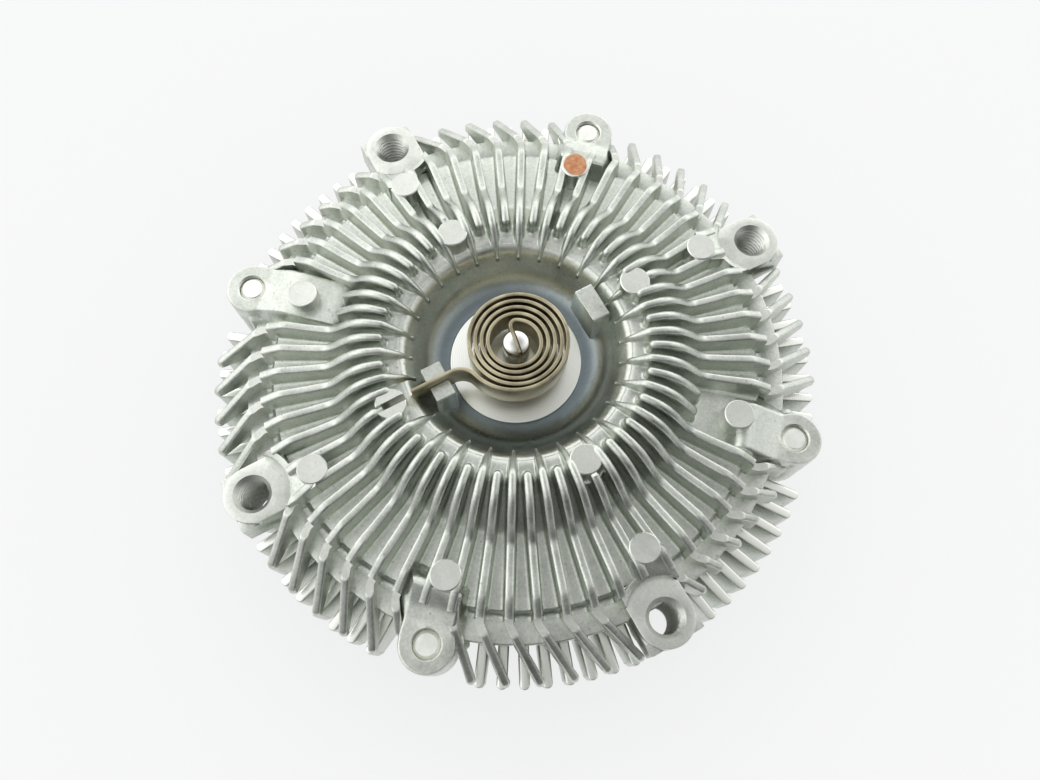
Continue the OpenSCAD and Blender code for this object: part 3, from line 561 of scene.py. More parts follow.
@dataclass
class FrontFins:
    """The corrugated field of cast fins, from the dish's rim to the turned step."""

    count: int = 60
    half_w: float = 0.87
    root_w: float = 1.5
    flat_edge: float = 0.28
    short_start: float = 28.7
    relief_end: float = 42.0
    anchor_start: float = 31.4
    boss_end: float = 56.0
    pad_half: float = 3.4
    pad_floor: float = 11.6
    root_h: float = 0.35
    far: float = 9.0
    offsets: tuple[float, ...] = (0.0, 0.26, 0.48, 0.66, 0.78, 0.87, 0.95, 1.06, 1.22, 1.5)
    inner_rows: tuple[float, ...] = (23.0, 23.3, 23.6, 24.0, 24.4, 24.9, 25.4, 26.0)
    middle_rows: tuple[float, ...] = (30.2, 31.0, 32.0, 33.0, 34.0, 35.0, 35.8, 36.6, 37.5, 38.4, 39.3, 40.2)
    outer_rows: tuple[float, ...] = (45.0, 46.5, 48.5, 50.5, 52.0, 53.0, 54.0, 54.8, 55.4, 55.8, 56.0, 56.3, 56.7,
                                     57.2, 57.58, 57.6)
    top: tuple[tuple[float, float], ...] = (
        (23.4, 6.4), (24.6, 8.6), (28.9, 12.2), (30.5, 12.44), (33.5, 12.3), (35.8, 11.3), (38.2, 9.3),
        (41.0, 6.2), (42.8, 4.9), (47.0, 4.6), (53.4, 4.7), (55.6, 3.5), (57.8, 2.2))
    floor: tuple[tuple[float, float], ...] = (
        (22.9, 4.2), (23.3, 5.1), (23.8, 6.2), (24.5, 7.25), (25.2, 7.85), (25.8, 8.12), (26.6, 8.3),
        (30.2, 8.3), (39.8, 0.1), (55.8, -1.3), (56.3, -4.0), (60.0, -4.05))
    bottom: tuple[tuple[float, float], ...] = (
        (57.6, -5.2), (55.0, -3.4), (40.5, -2.2), (30.5, 5.6), (24.8, 5.0), (23.0, 3.2))

    def lateral(self, rows: Array, long: Array) -> Array:
        """Distance of each column from its fin's centre line: fixed near the fin, and shared out over the floor.

        Args:
            rows: Distances along the fin.
            long: Whether each fin is a long one, whose inner end is thinner.

        Returns:
            Distances [fins, rows, columns].
        """
        x = rows[None, :, None]
        offsets = np.array(self.offsets)
        core = np.concatenate([-offsets[:0:-1], offsets])
        middle = x * math.tan(math.pi / self.count) + 0.0 * long[:, None, None]
        squeeze = np.minimum(1.0, middle / (self.root_w + 0.1))
        thin = np.where(long[:, None, None], 0.5 + 0.5 * smooth(23.2, 27.5, x), 1.0)
        root = self.root_w * squeeze * thin
        return np.concatenate([-middle, -(middle + root) / 2.0, core * squeeze * thin, (middle + root) / 2.0], 2)

    def nose(self, ahead: Array, y: Array, weight: Array) -> tuple[Array, Array]:
        """Bends the rows round a fin's end, so that equal distances ahead become circles round the end's centre.

        Args:
            ahead: Distance of the row past the end's centre, 0 or more.
            y: Distance of the column from the centre line.
            weight: How far each point is bent.

        Returns:
            The bent distances ahead and sideways.
        """
        size = np.abs(y)
        far = np.maximum(np.maximum(ahead, size), 1e-6)
        angle = np.pi / 4.0 * np.minimum(ahead, size) / far
        along = np.where(ahead >= size, far * np.cos(angle), far * np.sin(angle))
        side = np.sign(y) * np.where(ahead >= size, far * np.sin(angle), far * np.cos(angle))
        return ahead + (along - ahead) * weight, y + (side - y) * weight

    def rise(self, distance: Array, height: Array, flat: Array) -> Array:
        """Height of a fin over the floor: a round or flat top, a wall with a little draft, and a hollow root.

        Args:
            distance: Distance from the fin's centre line or end centre.
            height: Full height of the fin there.
            flat: How far the top is flat with round edges, and not a round all over.

        Returns:
            Heights over the floor.
        """
        share = np.clip(height, 0.0, 1.0)
        near = np.minimum(distance, self.half_w)
        arch = 1.0 - np.sqrt(1.0 - near**2)
        cap = arch + (self.flat_edge * (near / self.half_w) ** 4 - arch) * flat
        edge = 1.0 - math.sqrt(1.0 - self.half_w**2)
        edge = edge + (self.flat_edge - edge) * flat
        wall_end = self.offsets[-3]
        t = np.clip((distance - self.half_w) / (wall_end - self.half_w), 0.0, 1.0)
        wall = (height - share * edge) * (1.0 - t) + share * self.root_h * t
        foot = share * self.root_h * (np.clip(self.root_w - distance, 0.0, None) / (self.root_w - wall_end)) ** 2
        over = np.where(distance <= self.half_w, height - share * cap, np.where(distance <= wall_end, wall, foot))
        return np.where(height > 0.0, np.maximum(over, 0.0), 0.0)

    def grid(self) -> Array:
        """Points of the whole field: floor plus rise above, and a plain underside that closes the ring.

        Returns:
            Grid [rows, columns, 3].
        """
        fin = np.arange(self.count)
        degrees = fin * 360.0 / self.count
        long = fin % 2 == 1
        near_relief = np.min(np.abs(off_angle(degrees, RELIEF_ANGLES)), 1) < RELIEF_HALF
        anchor = np.abs(degrees - ANCHOR_ANGLE) < 1.0
        at_boss = np.min(np.abs(off_angle(degrees, BOSS_ANGLES)), 1) < 1.0
        offsets = np.array(self.offsets)
        ends = np.array([3.0, 2.4, 1.9, *offsets[::-1]])
        inner_c = self.short_start + self.half_w
        outer_c = self.relief_end - self.half_w
        rows = np.concatenate([self.inner_rows, inner_c - ends, self.middle_rows, outer_c + ends[::-1],
                               self.outer_rows])
        y = self.lateral(rows, long)
        x = np.broadcast_to(rows[None, :, None], y.shape)
        side = np.concatenate([offsets[:0:-1], offsets])
        column = np.concatenate([[self.far, self.far], side, [self.far]])
        hold = np.concatenate([[0.0, 0.5], np.ones(len(side)), [0.5]])
        distance, y_new = np.broadcast_to(column, y.shape), y
        for centre, sign, fins in ((inner_c, -1.0, ~long), (outer_c, 1.0, near_relief)):
            ended = fins[:, None, None]
            ahead = np.clip(sign * (rows - centre), 0.0, None)[None, :, None]
            weight = np.where(ended, hold * (1.0 - smooth(1.5, 3.0, ahead)), 0.0) * (ahead > 0.0)
            along, bent = self.nose(np.broadcast_to(ahead, y.shape), y, weight)
            x = np.where(weight > 0.0, centre + sign * along, x)
            y_new = np.where(weight > 0.0, bent, y_new)
            distance = np.where(ended, np.maximum(distance, ahead), distance)
        distance = np.where(anchor[:, None, None] & (rows < self.anchor_start)[None, :, None], self.far, distance)
        distance = np.where(at_boss[:, None, None] & (rows > self.boss_end)[None, :, None], self.far, distance)
        under_pad = at_boss[:, None] & (np.abs(rows - INNER_PAD_R) < self.pad_half)[None]
        crest = np.where(under_pad, self.pad_floor, soft_line(rows, self.top, 0.7)[None])
        spine = crest - soft_line(rows, self.floor, 0.25)[None]
        z = soft_line(np.hypot(x, y_new), self.floor, 0.25) + self.rise(
            distance, spine[..., None], smooth(38.0, 44.0, rows)[None, :, None])
        low_r, low_z = np.array(self.bottom).T
        low_y = self.lateral(low_r, long)
        x = np.concatenate([x, np.broadcast_to(low_r[None, :, None], low_y.shape)], 1)
        y = np.concatenate([y_new, low_y], 1)
        z = np.concatenate([z, np.broadcast_to(low_z[None, :, None], low_y.shape)], 1)
        turned = spread(np.stack([x, y, z + SEAT_Z], -1), 0.0, degrees)
        return turned.transpose(1, 0, 2, 3).reshape(x.shape[1], -1, 3)

    def build(self) -> list[bpy.types.Object]:
        """Makes the field of fins.

        Returns:
            The one piece, in a list.
        """
        shell = Shell()
        grid = self.grid()
        cut = np.zeros(grid.shape[:2])
        cut[len(cut) - len(self.bottom) - 1 :] = 1.0
        shell.add(grid, ring=True, machined=cut)
        return [shell.piece("front_fin_field", coat(DIE_CAST))]


@dataclass
class SweptTips:
    """The fins' tips: blades that bend to one side past the turned step, with a turned facet on top."""

    bend_r: float = 58.6
    sweep: float = 32.0
    start_r: float = 56.9
    facet_r: float = 61.0
    tip_r: float = 70.8
    fall: float = 0.69
    low: float = -8.2
    half_w: float = 0.86
    count: int = 60
    flat_angles: tuple[float, ...] = (142.0, 322.0)
    flat_r: float = 64.2
    flat_shift: float = 5.0
    flat_half: float = 18.0
    nose: float = 0.9
    crown: float = 0.32
    cut: float = 0.3
    full_ahead: float = 10.0
    short_ahead: float = 7.2

    def reach(self, r: Array) -> Array:
        """Distance from the bend, along the sweep, at which the blade's centre line is at a radius."""
        across = self.bend_r * math.cos(math.radians(self.sweep))
        return -across + np.sqrt(across**2 + np.asarray(r, float) ** 2 - self.bend_r**2)

    def blade(self, end_r: float) -> tuple[Array, Array]:
        """One blade: a section with a round top, cut flat at the seat's height, carried along the bent path.

        Args:
            end_r: Radius of the blade's outer end.

        Returns:
            Grid [stations, columns, 3] in the fin's own frame, and the machined share of its points.
        """
        end = float(self.reach(end_r))
        radii = np.array([59.0, 59.5, 60.0, 60.3, 60.6, 60.9, 61.2, 61.6, 62.4, 63.6, 65.0, 66.6, 68.2, 69.4])
        q = self.reach(radii)
        tail = end - np.array([0.9, 0.66, 0.42, 0.22, 0.08, 0.0])
        q = np.concatenate([q[q < end - 1.1], tail])
        sweep = math.radians(self.sweep)
        straight = np.array([self.start_r, 57.6, 58.3])
        x = np.concatenate([straight, self.bend_r + q * math.cos(sweep)])
        y = np.concatenate([np.zeros(len(straight)), q * math.sin(sweep)])
        heading = sweep * smooth(58.0, 59.4, np.hypot(x, y))
        left = np.concatenate([np.ones(len(straight)), np.clip(end - q, 0.0, self.nose) / self.nose])
        width = self.half_w * np.sqrt(np.clip(1.0 - (1.0 - left) ** 2, 0.03, 1.0))
        side = np.array([1.0, 0.93, 0.8, 0.62, 0.4, 0.14])
        across = np.concatenate([-side, side[::-1]])
        cap = self.crown * across**4
        r = np.hypot(x, y)
        crest = self.fall * (self.facet_r - r) - 0.5 * (1.0 - left) ** 2
        top = np.minimum(crest[:, None] - cap[None], 0.0)
        cut = self.cut * (crest[:, None] - cap[None] > 0.0)
        offset = across[None] * width[:, None]
        low = np.minimum(self.low, crest - 0.9)
        flank = 0.5 * (top[:, :1] + low[:, None])
        z = np.concatenate([low[:, None], flank, top, flank, low[:, None]], 1)
        grow = left[:, None]
        u = np.concatenate([offset[:, :1] - 0.2 * grow, offset[:, :1] - 0.1 * grow, offset,
                            offset[:, -1:] + 0.1 * grow, offset[:, -1:] + 0.2 * grow], 1)
        px = x[:, None] - u * np.sin(heading)[:, None]
        py = y[:, None] + u * np.cos(heading)[:, None]
        none = np.zeros((len(x), 2))
        return np.stack([px, py, z + SEAT_Z], -1), np.concatenate([none, cut, none], 1)

    def build(self) -> list[bpy.types.Object]:
        """Makes all tips: full ones, and short ones that end in a screw ear's side; lugs have none.

        Returns:
            The one piece, in a list.
        """
        degrees = np.arange(self.count) * 360.0 / self.count
        ahead = (BOSS_ANGLES[0] - degrees) % 45.0
        relief = np.min(np.abs(off_angle(degrees, RELIEF_ANGLES)), 1) < RELIEF_HALF
        full = degrees[(ahead >= self.full_ahead) & ~relief]
        short = degrees[(ahead >= self.short_ahead) & (ahead < self.full_ahead) & ~relief]
        away = np.radians(off_angle(full, self.flat_angles))
        away = away[np.arange(len(full)), np.argmin(np.abs(away), 1)]
        sweep = math.radians(self.sweep)
        q = (self.flat_r - self.bend_r * np.cos(away)) / np.cos(away + sweep)
        flat_end = np.hypot(self.bend_r + q * math.cos(sweep), q * math.sin(sweep))
        near = (np.abs(np.degrees(away) + self.flat_shift) < self.flat_half) & (flat_end < self.tip_r)
        ends = np.where(near, flat_end, self.tip_r)
        shell = Shell()
        for end in np.unique(np.round(ends, 3)):
            grid, cut = self.blade(float(end))
            shell.add(spread(grid, 0.0, full[np.round(ends, 3) == end]), machined=cut)
        grid, cut = self.blade(LUG_R + 0.3)
        shell.add(spread(grid, 0.0, short), machined=cut)
        return [shell.piece("front_fin_tips", coat(DIE_CAST), 30.0)]


@dataclass
class CoverBody:
    """The cover without its fins: machined pad, dish, ledge and rim, and the hollow behind them."""

    columns: int = 240
    wall: tuple[tuple[float, float], ...] = (
        (14.0, -0.5), (16.5, -0.45), (18.0, -0.2), (19.5, 0.4), (21.0, 1.6), (22.0, 3.0), (23.0, 4.9), (23.8, 6.5),
        (24.5, 7.5), (25.2, 8.0), (26.0, 8.2), (27.0, 8.2))

    def section(self) -> Array:
        """Half section as a closed outline of (radius, height over the seat).

        The dish's wall is a soft line through its points: a shallow bowl, a steep rise and a round lip.

        Returns:
            Points [n, 2].
        """
        r = np.linspace(15.05, 25.75, 40)
        dish = np.stack([r, soft_line(r, self.wall, 0.7)], -1)
        pad = fillet([(3.05, -7.4, 0.0), (3.05, 0.0, 0.0), (14.95, 0.0, 0.12), (15.0, -0.5, 0.0)])
        back = fillet([
            (26.1, 8.0, 0.0), (26.6, 7.4, 0.0), (30.4, 7.4, 0.0), (39.6, -0.9, 0.0), (55.6, -2.2, 0.0),
            (56.2, -4.3, 0.0), (57.5, -4.15, 0.0), (57.9, -4.0, 0.0), (62.4, -4.2, 0.4), (62.4, -9.0, 0.3),
            (53.0, -9.0, 0.0), (53.0, -4.9, 0.5), (38.4, -4.0, 0.0), (28.9, 4.3, 0.0), (26.3, 4.3, 0.0),
            (22.0, -2.4, 0.0), (15.0, -4.5, 0.0), (7.5, -4.5, 0.0), (7.5, -7.4, 0.0)])
        return np.concatenate([pad, dish, back])

    def build(self) -> list[bpy.types.Object]:
        """Makes the turned body.

        Returns:
            The one piece, in a list.
        """
        section = self.section()
        grid = revolve(section + [0.0, SEAT_Z], self.columns)
        r, z = section.T
        cut = ((r < 14.99) & (z > -0.3)) | (z < -6.0)
        # Painted reflection: the dish's dark blue-grey is full on its floor and fades out up the wall, from 16.8
        # to 22.5 mm.
        painted_dark_reflection = 1.0 - 0.2 * smooth(16.8, 18.6, r) - 0.8 * smooth(19.5, 22.5, r)
        painted_dark_reflection = np.where((r > 14.99) & (z > -0.6), painted_dark_reflection, 0.0)
        shell = Shell()
        shell.add(grid, ring=True, machined=np.broadcast_to(cut[:, None], grid.shape[:2]),
                  polished=np.broadcast_to(painted_dark_reflection[:, None], grid.shape[:2]))
        return [shell.piece("front_cover_body", coat(DIE_CAST))]


@dataclass
class FanBosses:
    """Four tapped bosses: a round face on a square block, a threaded tube below, and a cast land behind."""

    columns: int = 96
    round_r: float = 6.35
    back: float = 9.4
    block_x: float = 5.5
    block_y: float = 6.5
    low: float = -8.7
    tube_r: float = 5.4
    tube_low: float = -19.0
    minor_r: float = 3.4
    thread_depth: float = 0.75
    thread_pitch: float = 1.25
    mouth: float = 0.85
    spot_r: float = 8.4
    land_w: float = 6.6
    land_reach: float = 13.5
    land_low: float = 1.4
    land_slope: float = 0.56
    rim_w: float = 1.6
    cut: float = 0.3

    def core(self) -> tuple[Array, Array]:
        """One boss about its hole: rows up the thread, over the mouth and face, and down the outside.

        The thread's radius is the minor radius plus a sine wave of height over pitch less angle over a turn.
        The face's edge is a circle outside and straight on the inner side; the block below it is square.

        Returns:
            Grid [rows, columns, 3] about the hole's axis with X outwards, and the machined share.
        """
        a = steps_round(self.columns, 0.5)
        across, out = np.maximum(np.abs(np.sin(a)), 0.05), np.cos(a)
        z = np.linspace(self.tube_low, -self.mouth, 170)
        phase = 2.0 * np.pi * z[:, None] / self.thread_pitch - a
        bore = self.minor_r + self.thread_depth * (0.5 - 0.5 * np.cos(phase))
        bore[[0, -1]] = self.minor_r
        inner = np.minimum(self.round_r / across, self.back / np.maximum(-out, 0.05))
        face = np.where(out > 0.0, self.round_r, inner)
        square = np.where(out > 0.0, self.block_x, self.back) / np.maximum(np.abs(out), 0.05)
        block = np.maximum(np.minimum(self.block_y / across, square), face)
        flat = np.ones(self.columns)
        rows = [
            ((self.minor_r + self.mouth) * flat, 0.0), ((self.minor_r + self.mouth + 0.5) * flat, 0.0),
            (face - 0.3, 0.0), (face - 0.08, -0.06), (face, -0.3), (face + 0.04, -1.45),
            (np.maximum(block - 0.12, face), -1.6), (block, -1.85), (block + 0.1, self.low + 0.3),
            (block - 0.1, self.low), (self.tube_r * flat, self.low), (self.tube_r * flat, self.tube_low + 0.3),
            ((self.tube_r - 0.3) * flat, self.tube_low)]
        radius = np.concatenate([bore, np.stack([r for r, _ in rows])])
        height = np.concatenate([z, [h for _, h in rows]])[:, None]
        cut = np.zeros(radius.shape)
        cut[: len(z) + 4] = self.cut
        return around(radius, a, height + SEAT_Z), cut

    def land(self) -> tuple[Array, Array]:
        """The cast land behind the face: a section with round edges carried along the spot face's arc.

        Its top rises inwards at a steady slope. Ahead of the boss it reaches in to the outer pad, and behind it
        is only a rim round an open pocket.

        Returns:
            Grid [stations, columns, 3] about the hole's axis with X outwards, and the machined share.
        """
        a = np.radians(np.linspace(131.5, 228.5, 54))
        side = self.land_w / np.maximum(np.abs(np.sin(a)), 0.05)
        wide = np.minimum(self.land_reach / -np.cos(a), side)
        narrow = np.minimum(self.spot_r + self.rim_w, side)
        reach = wide + (narrow - wide) * smooth(math.radians(184.0), math.radians(190.0), a)
        share = np.array([0.0, 0.0, 0.0, 0.0, 0.2, 0.4, 0.6, 0.8, 1.0, 1.0, 1.0, 1.0])
        inset = np.array([0.0, 0.0, 0.07, 0.25, 0.0, 0.0, 0.0, 0.0, -0.3, -0.08, 0.0, 0.4])
        drop = np.array([0.0, 0.25, 0.07, 0.0, 0.0, 0.0, 0.0, 0.0, 0.0, 0.1, 0.4, 0.0])
        r = self.spot_r + share * (reach[:, None] - self.spot_r) + inset
        z = self.land_low + self.land_slope * (r - self.spot_r) - drop
        z[:, [0, -1]] = -4.0
        cut = np.zeros(r.shape)
        cut[:, :2] = self.cut
        return around(r, a[:, None], z + SEAT_Z), cut

    def build(self) -> list[bpy.types.Object]:
        """Makes the four bosses with their lands.

        Returns:
            The one piece, in a list.
        """
        shell = Shell()
        grid, cut = self.core()
        shell.add(spread(grid, LUG_R, BOSS_ANGLES), ring=True, machined=cut)
        grid, cut = self.land()
        shell.add(spread(grid, LUG_R, BOSS_ANGLES), machined=cut)
        return [shell.piece("fan_bosses", coat(DIE_CAST), 32.0)]


@dataclass
class ScrewEars:
    """Four ears for the cover screws: a round end with a tongue that ramps up to the outer pads."""

    columns: int = 120
    round_r: float = 6.0
    neck_ahead: float = 4.4
    neck_behind: float = 6.2
    low: float = -9.0
    floor: float = -1.7
    hole_r: float = 3.05
    mouth: float = 0.3
    # angle, length of the strip, its crest, and its flanks behind and ahead
    strips: tuple[tuple[float, ...], ...] = (
        (75.0, 11.2, 3.9, 3.0, 3.0), (165.0, 22.6, 2.0, 3.0, 3.0), (255.0, 11.2, 3.9, 6.0, 3.0),
        (345.0, 11.8, 2.4, 5.0, 5.0))

    def grid(self, tongue: float, crest: float, behind: float, ahead: float) -> tuple[Array, Array]:
        """One ear about its hole: rows up the hole, over the face and the ramp, and down the outside.

        The edge is the circle of the ear joined with a strip that runs inwards, narrower on the side that the
        fins' tips sweep past. Outside the edge the ear drops straight, with a web low down beside its neck, and
        the strip runs out in a soft flank.

        Args:
            tongue: Length of the strip from the hole.
            crest: Height that the strip ramps up to.
            behind: Width of the strip's flank behind it, clockwise.
            ahead: Width of the flank ahead of it.

        Returns:
            Grid [rows, columns, 3] about the hole's axis with X outwards, and the machined share.
        """
        ramp = ((-40.0, crest), (-10.8, crest), (-7.5, 1.05), (-3.6, -0.5), (9.0, -0.5))
        a = steps_round(self.columns, 0.5)
        neck = np.where(np.sin(a) > 0.0, self.neck_ahead, self.neck_behind) / np.maximum(np.abs(np.sin(a)), 0.05)
        strip = np.where(np.cos(a) < 0.0, np.minimum(neck, tongue / np.maximum(-np.cos(a), 0.05)), 0.0)
        edge = np.maximum(strip, self.round_r)
        start = self.hole_r + self.mouth
        inner = start + np.linspace(0.0, 1.0, 15)[:, None] * (edge - 0.45 - start)
        top = soft_line(edge * np.cos(a), ramp, 0.8)
        soft = smooth(0.5, 0.8, -np.cos(a))
        web = np.array([0.0, 0.0, 0.5, 1.5, 2.4, 2.4])[:, None] * smooth(0.0, 0.3, -np.cos(a))
        out = np.array([-0.16, 0.0, 0.03, 0.08, 0.12, 0.0])[:, None] + web
        flare = behind + (ahead - behind) * smooth(-0.4, 0.0, np.sin(a))
        away = flare * np.array([0.1, 0.32, 0.56, 0.8, 1.0, 0.9])[:, None]
        drop = top - np.array([0.09, 0.4, 1.7, 2.3, 0.0, 0.0])[:, None]
        drop[4:] = [[self.low + 0.2], [self.low]]
        slide = top + (self.floor - top) * np.array([0.05, 0.24, 0.6, 0.88, 1.0, 1.0])[:, None]
        slide[-1] = self.floor - 1.0
        outside = edge + out * (1.0 - soft) + away * soft
        radius = np.concatenate([np.full((2, self.columns), self.hole_r), inner, outside])
        face = soft_line(radius[: -len(outside)] * np.cos(a), ramp, 0.8)
        height = np.concatenate([face, drop * (1.0 - soft) + slide * soft])
        height[0], height[1] = self.low, height[2] - self.mouth
        cut = np.zeros(radius.shape)
        cut[:3] = 0.5
        return around(radius, a, height + SEAT_Z), cut

    def build(self) -> list[bpy.types.Object]:
        """Makes the four ears, each with its own strip; one runs on into a broad web.

        Returns:
            The one piece, in a list.
        """
        shell = Shell()
        for angle, *sizes in self.strips:
            grid, cut = self.grid(*sizes)
            shell.add(spread(grid, LUG_R, [angle]), ring=True, machined=cut)
        return [shell.piece("screw_ears", coat(DIE_CAST), 36.0)]


@dataclass
class EjectorPads:
    """Round pads where the mould's pins pushed: an inner ring on the crest, an outer ring on the floor."""

    radius: float = 3.4
    inner_top: float = 12.0
    outer_top: float = 4.9
    boss_ahead: float = 3.0
    slot_w: float = 1.3
    cut: float = 0.5

    def post(self, top: float, low: float, floor: float) -> Array:
        """A pad as a turned solid: flat top, small round, draft, and a flared root.

        Args:
            top: Height of the flat top over the seat.
            low: Height of the hidden foot.
            floor: Height of the cast surface round the pad.

        Returns:
            Grid [levels, columns, 3] about the pad's axis.
        """
        r = self.radius
        profile = [(r + 0.9, low), (r + 0.9, floor), (r + 0.45, floor + 0.15), (r + 0.2, floor + 0.5),
                   (r + 0.08, floor + 1.0), (r - 0.02, top - 0.45), (r - 0.1, top - 0.16), (r - 0.32, top),
                   (r - 0.9, top - 0.015)]
        return revolve(np.array(profile) + [0.0, SEAT_Z], 48)

    def halves(self) -> Array:
        """The pad with a saw slot: two half discs, each an arc and a chord, stacked up.

        Returns:
            Grids [2, levels, columns, 3] about the pad's axis.
        """
        start = math.asin(self.slot_w / 2.0 / self.radius)
        a = np.linspace(start, np.pi - start, 26)
        half = np.stack([self.radius * np.cos(a), self.radius * np.sin(a)], -1)
        levels = [(1.12, 6.0), (1.08, 8.4), (1.02, 9.0), (1.0, 11.5), (0.97, 11.85), (0.9, 12.0)]
        near = stack_outline(half, [(s, z + SEAT_Z) for s, z in levels])
        return np.stack([near, near * [-1.0, -1.0, 1.0]])

    def build(self) -> list[bpy.types.Object]:
        """Makes all twelve pads.

        Returns:
            The one piece, in a list.
        """
        shell = Shell()
        whole = [a for a in BOSS_ANGLES if a != ANCHOR_ANGLE]
        shell.add(spread(self.post(self.inner_top, 4.5, 8.0), INNER_PAD_R, whole), machined=self.cut)
        outer = [a + self.boss_ahead for a in BOSS_ANGLES] + list(EAR_ANGLES)
        shell.add(spread(self.post(self.outer_top, -3.0, -1.0), OUTER_PAD_R, outer), machined=self.cut)
        for half in self.halves():
            shell.add(spread(half, INNER_PAD_R, [ANCHOR_ANGLE]), machined=self.cut)
        return [shell.piece("ejector_pads", coat(DIE_CAST), 32.0)]


@dataclass
class AnchorBlocks:
    """Blocks on the dish's wall: a whole one, and one split in halves that hold the coil's outer end."""

    whole: tuple[float, float, float, float] = (17.8, 22.1, -3.1, 5.2)
    halves: tuple[tuple[float, float, float, float], ...] = ((16.4, 21.1, -4.85, -1.65), (16.4, 21.1, -0.1, 3.35))
    top: float = 9.0
    low: float = -1.5

    def block(self, x0: float, x1: float, y0: float, y1: float) -> Array:
        """A cast block: a rectangle with rounded corners, wider at its root, stacked up.

        Args:
            x0: Inner end along the block's radius.
            x1: Outer end.
            y0: Side behind that radius.
            y1: Side ahead of it.

        Returns:
            Grid [levels, columns, 3].
        """
        outline = fillet([(x1, y0, 0.25), (x1, y1, 0.25), (x0, y1, 0.25), (x0, y0, 0.25)], 3)
        levels = [(1.12, self.low), (1.02, self.top - 1.0), (1.0, self.top - 0.35), (0.97, self.top - 0.08),
                  (0.93, self.top)]
        return stack_outline(outline, [(s, z + SEAT_Z) for s, z in levels])

    def build(self) -> list[bpy.types.Object]:
        """Makes the whole block and the two halves.

        Returns:
            The one piece, in a list.
        """
        shell = Shell()
        shell.add(spread(self.block(*self.whole), 0.0, [ANCHOR_ANGLE - 180.0]))
        for half in self.halves:
            shell.add(spread(self.block(*half), 0.0, [ANCHOR_ANGLE]))
        return [shell.piece("coil_anchor_blocks", coat(DIE_CAST), 32.0)]


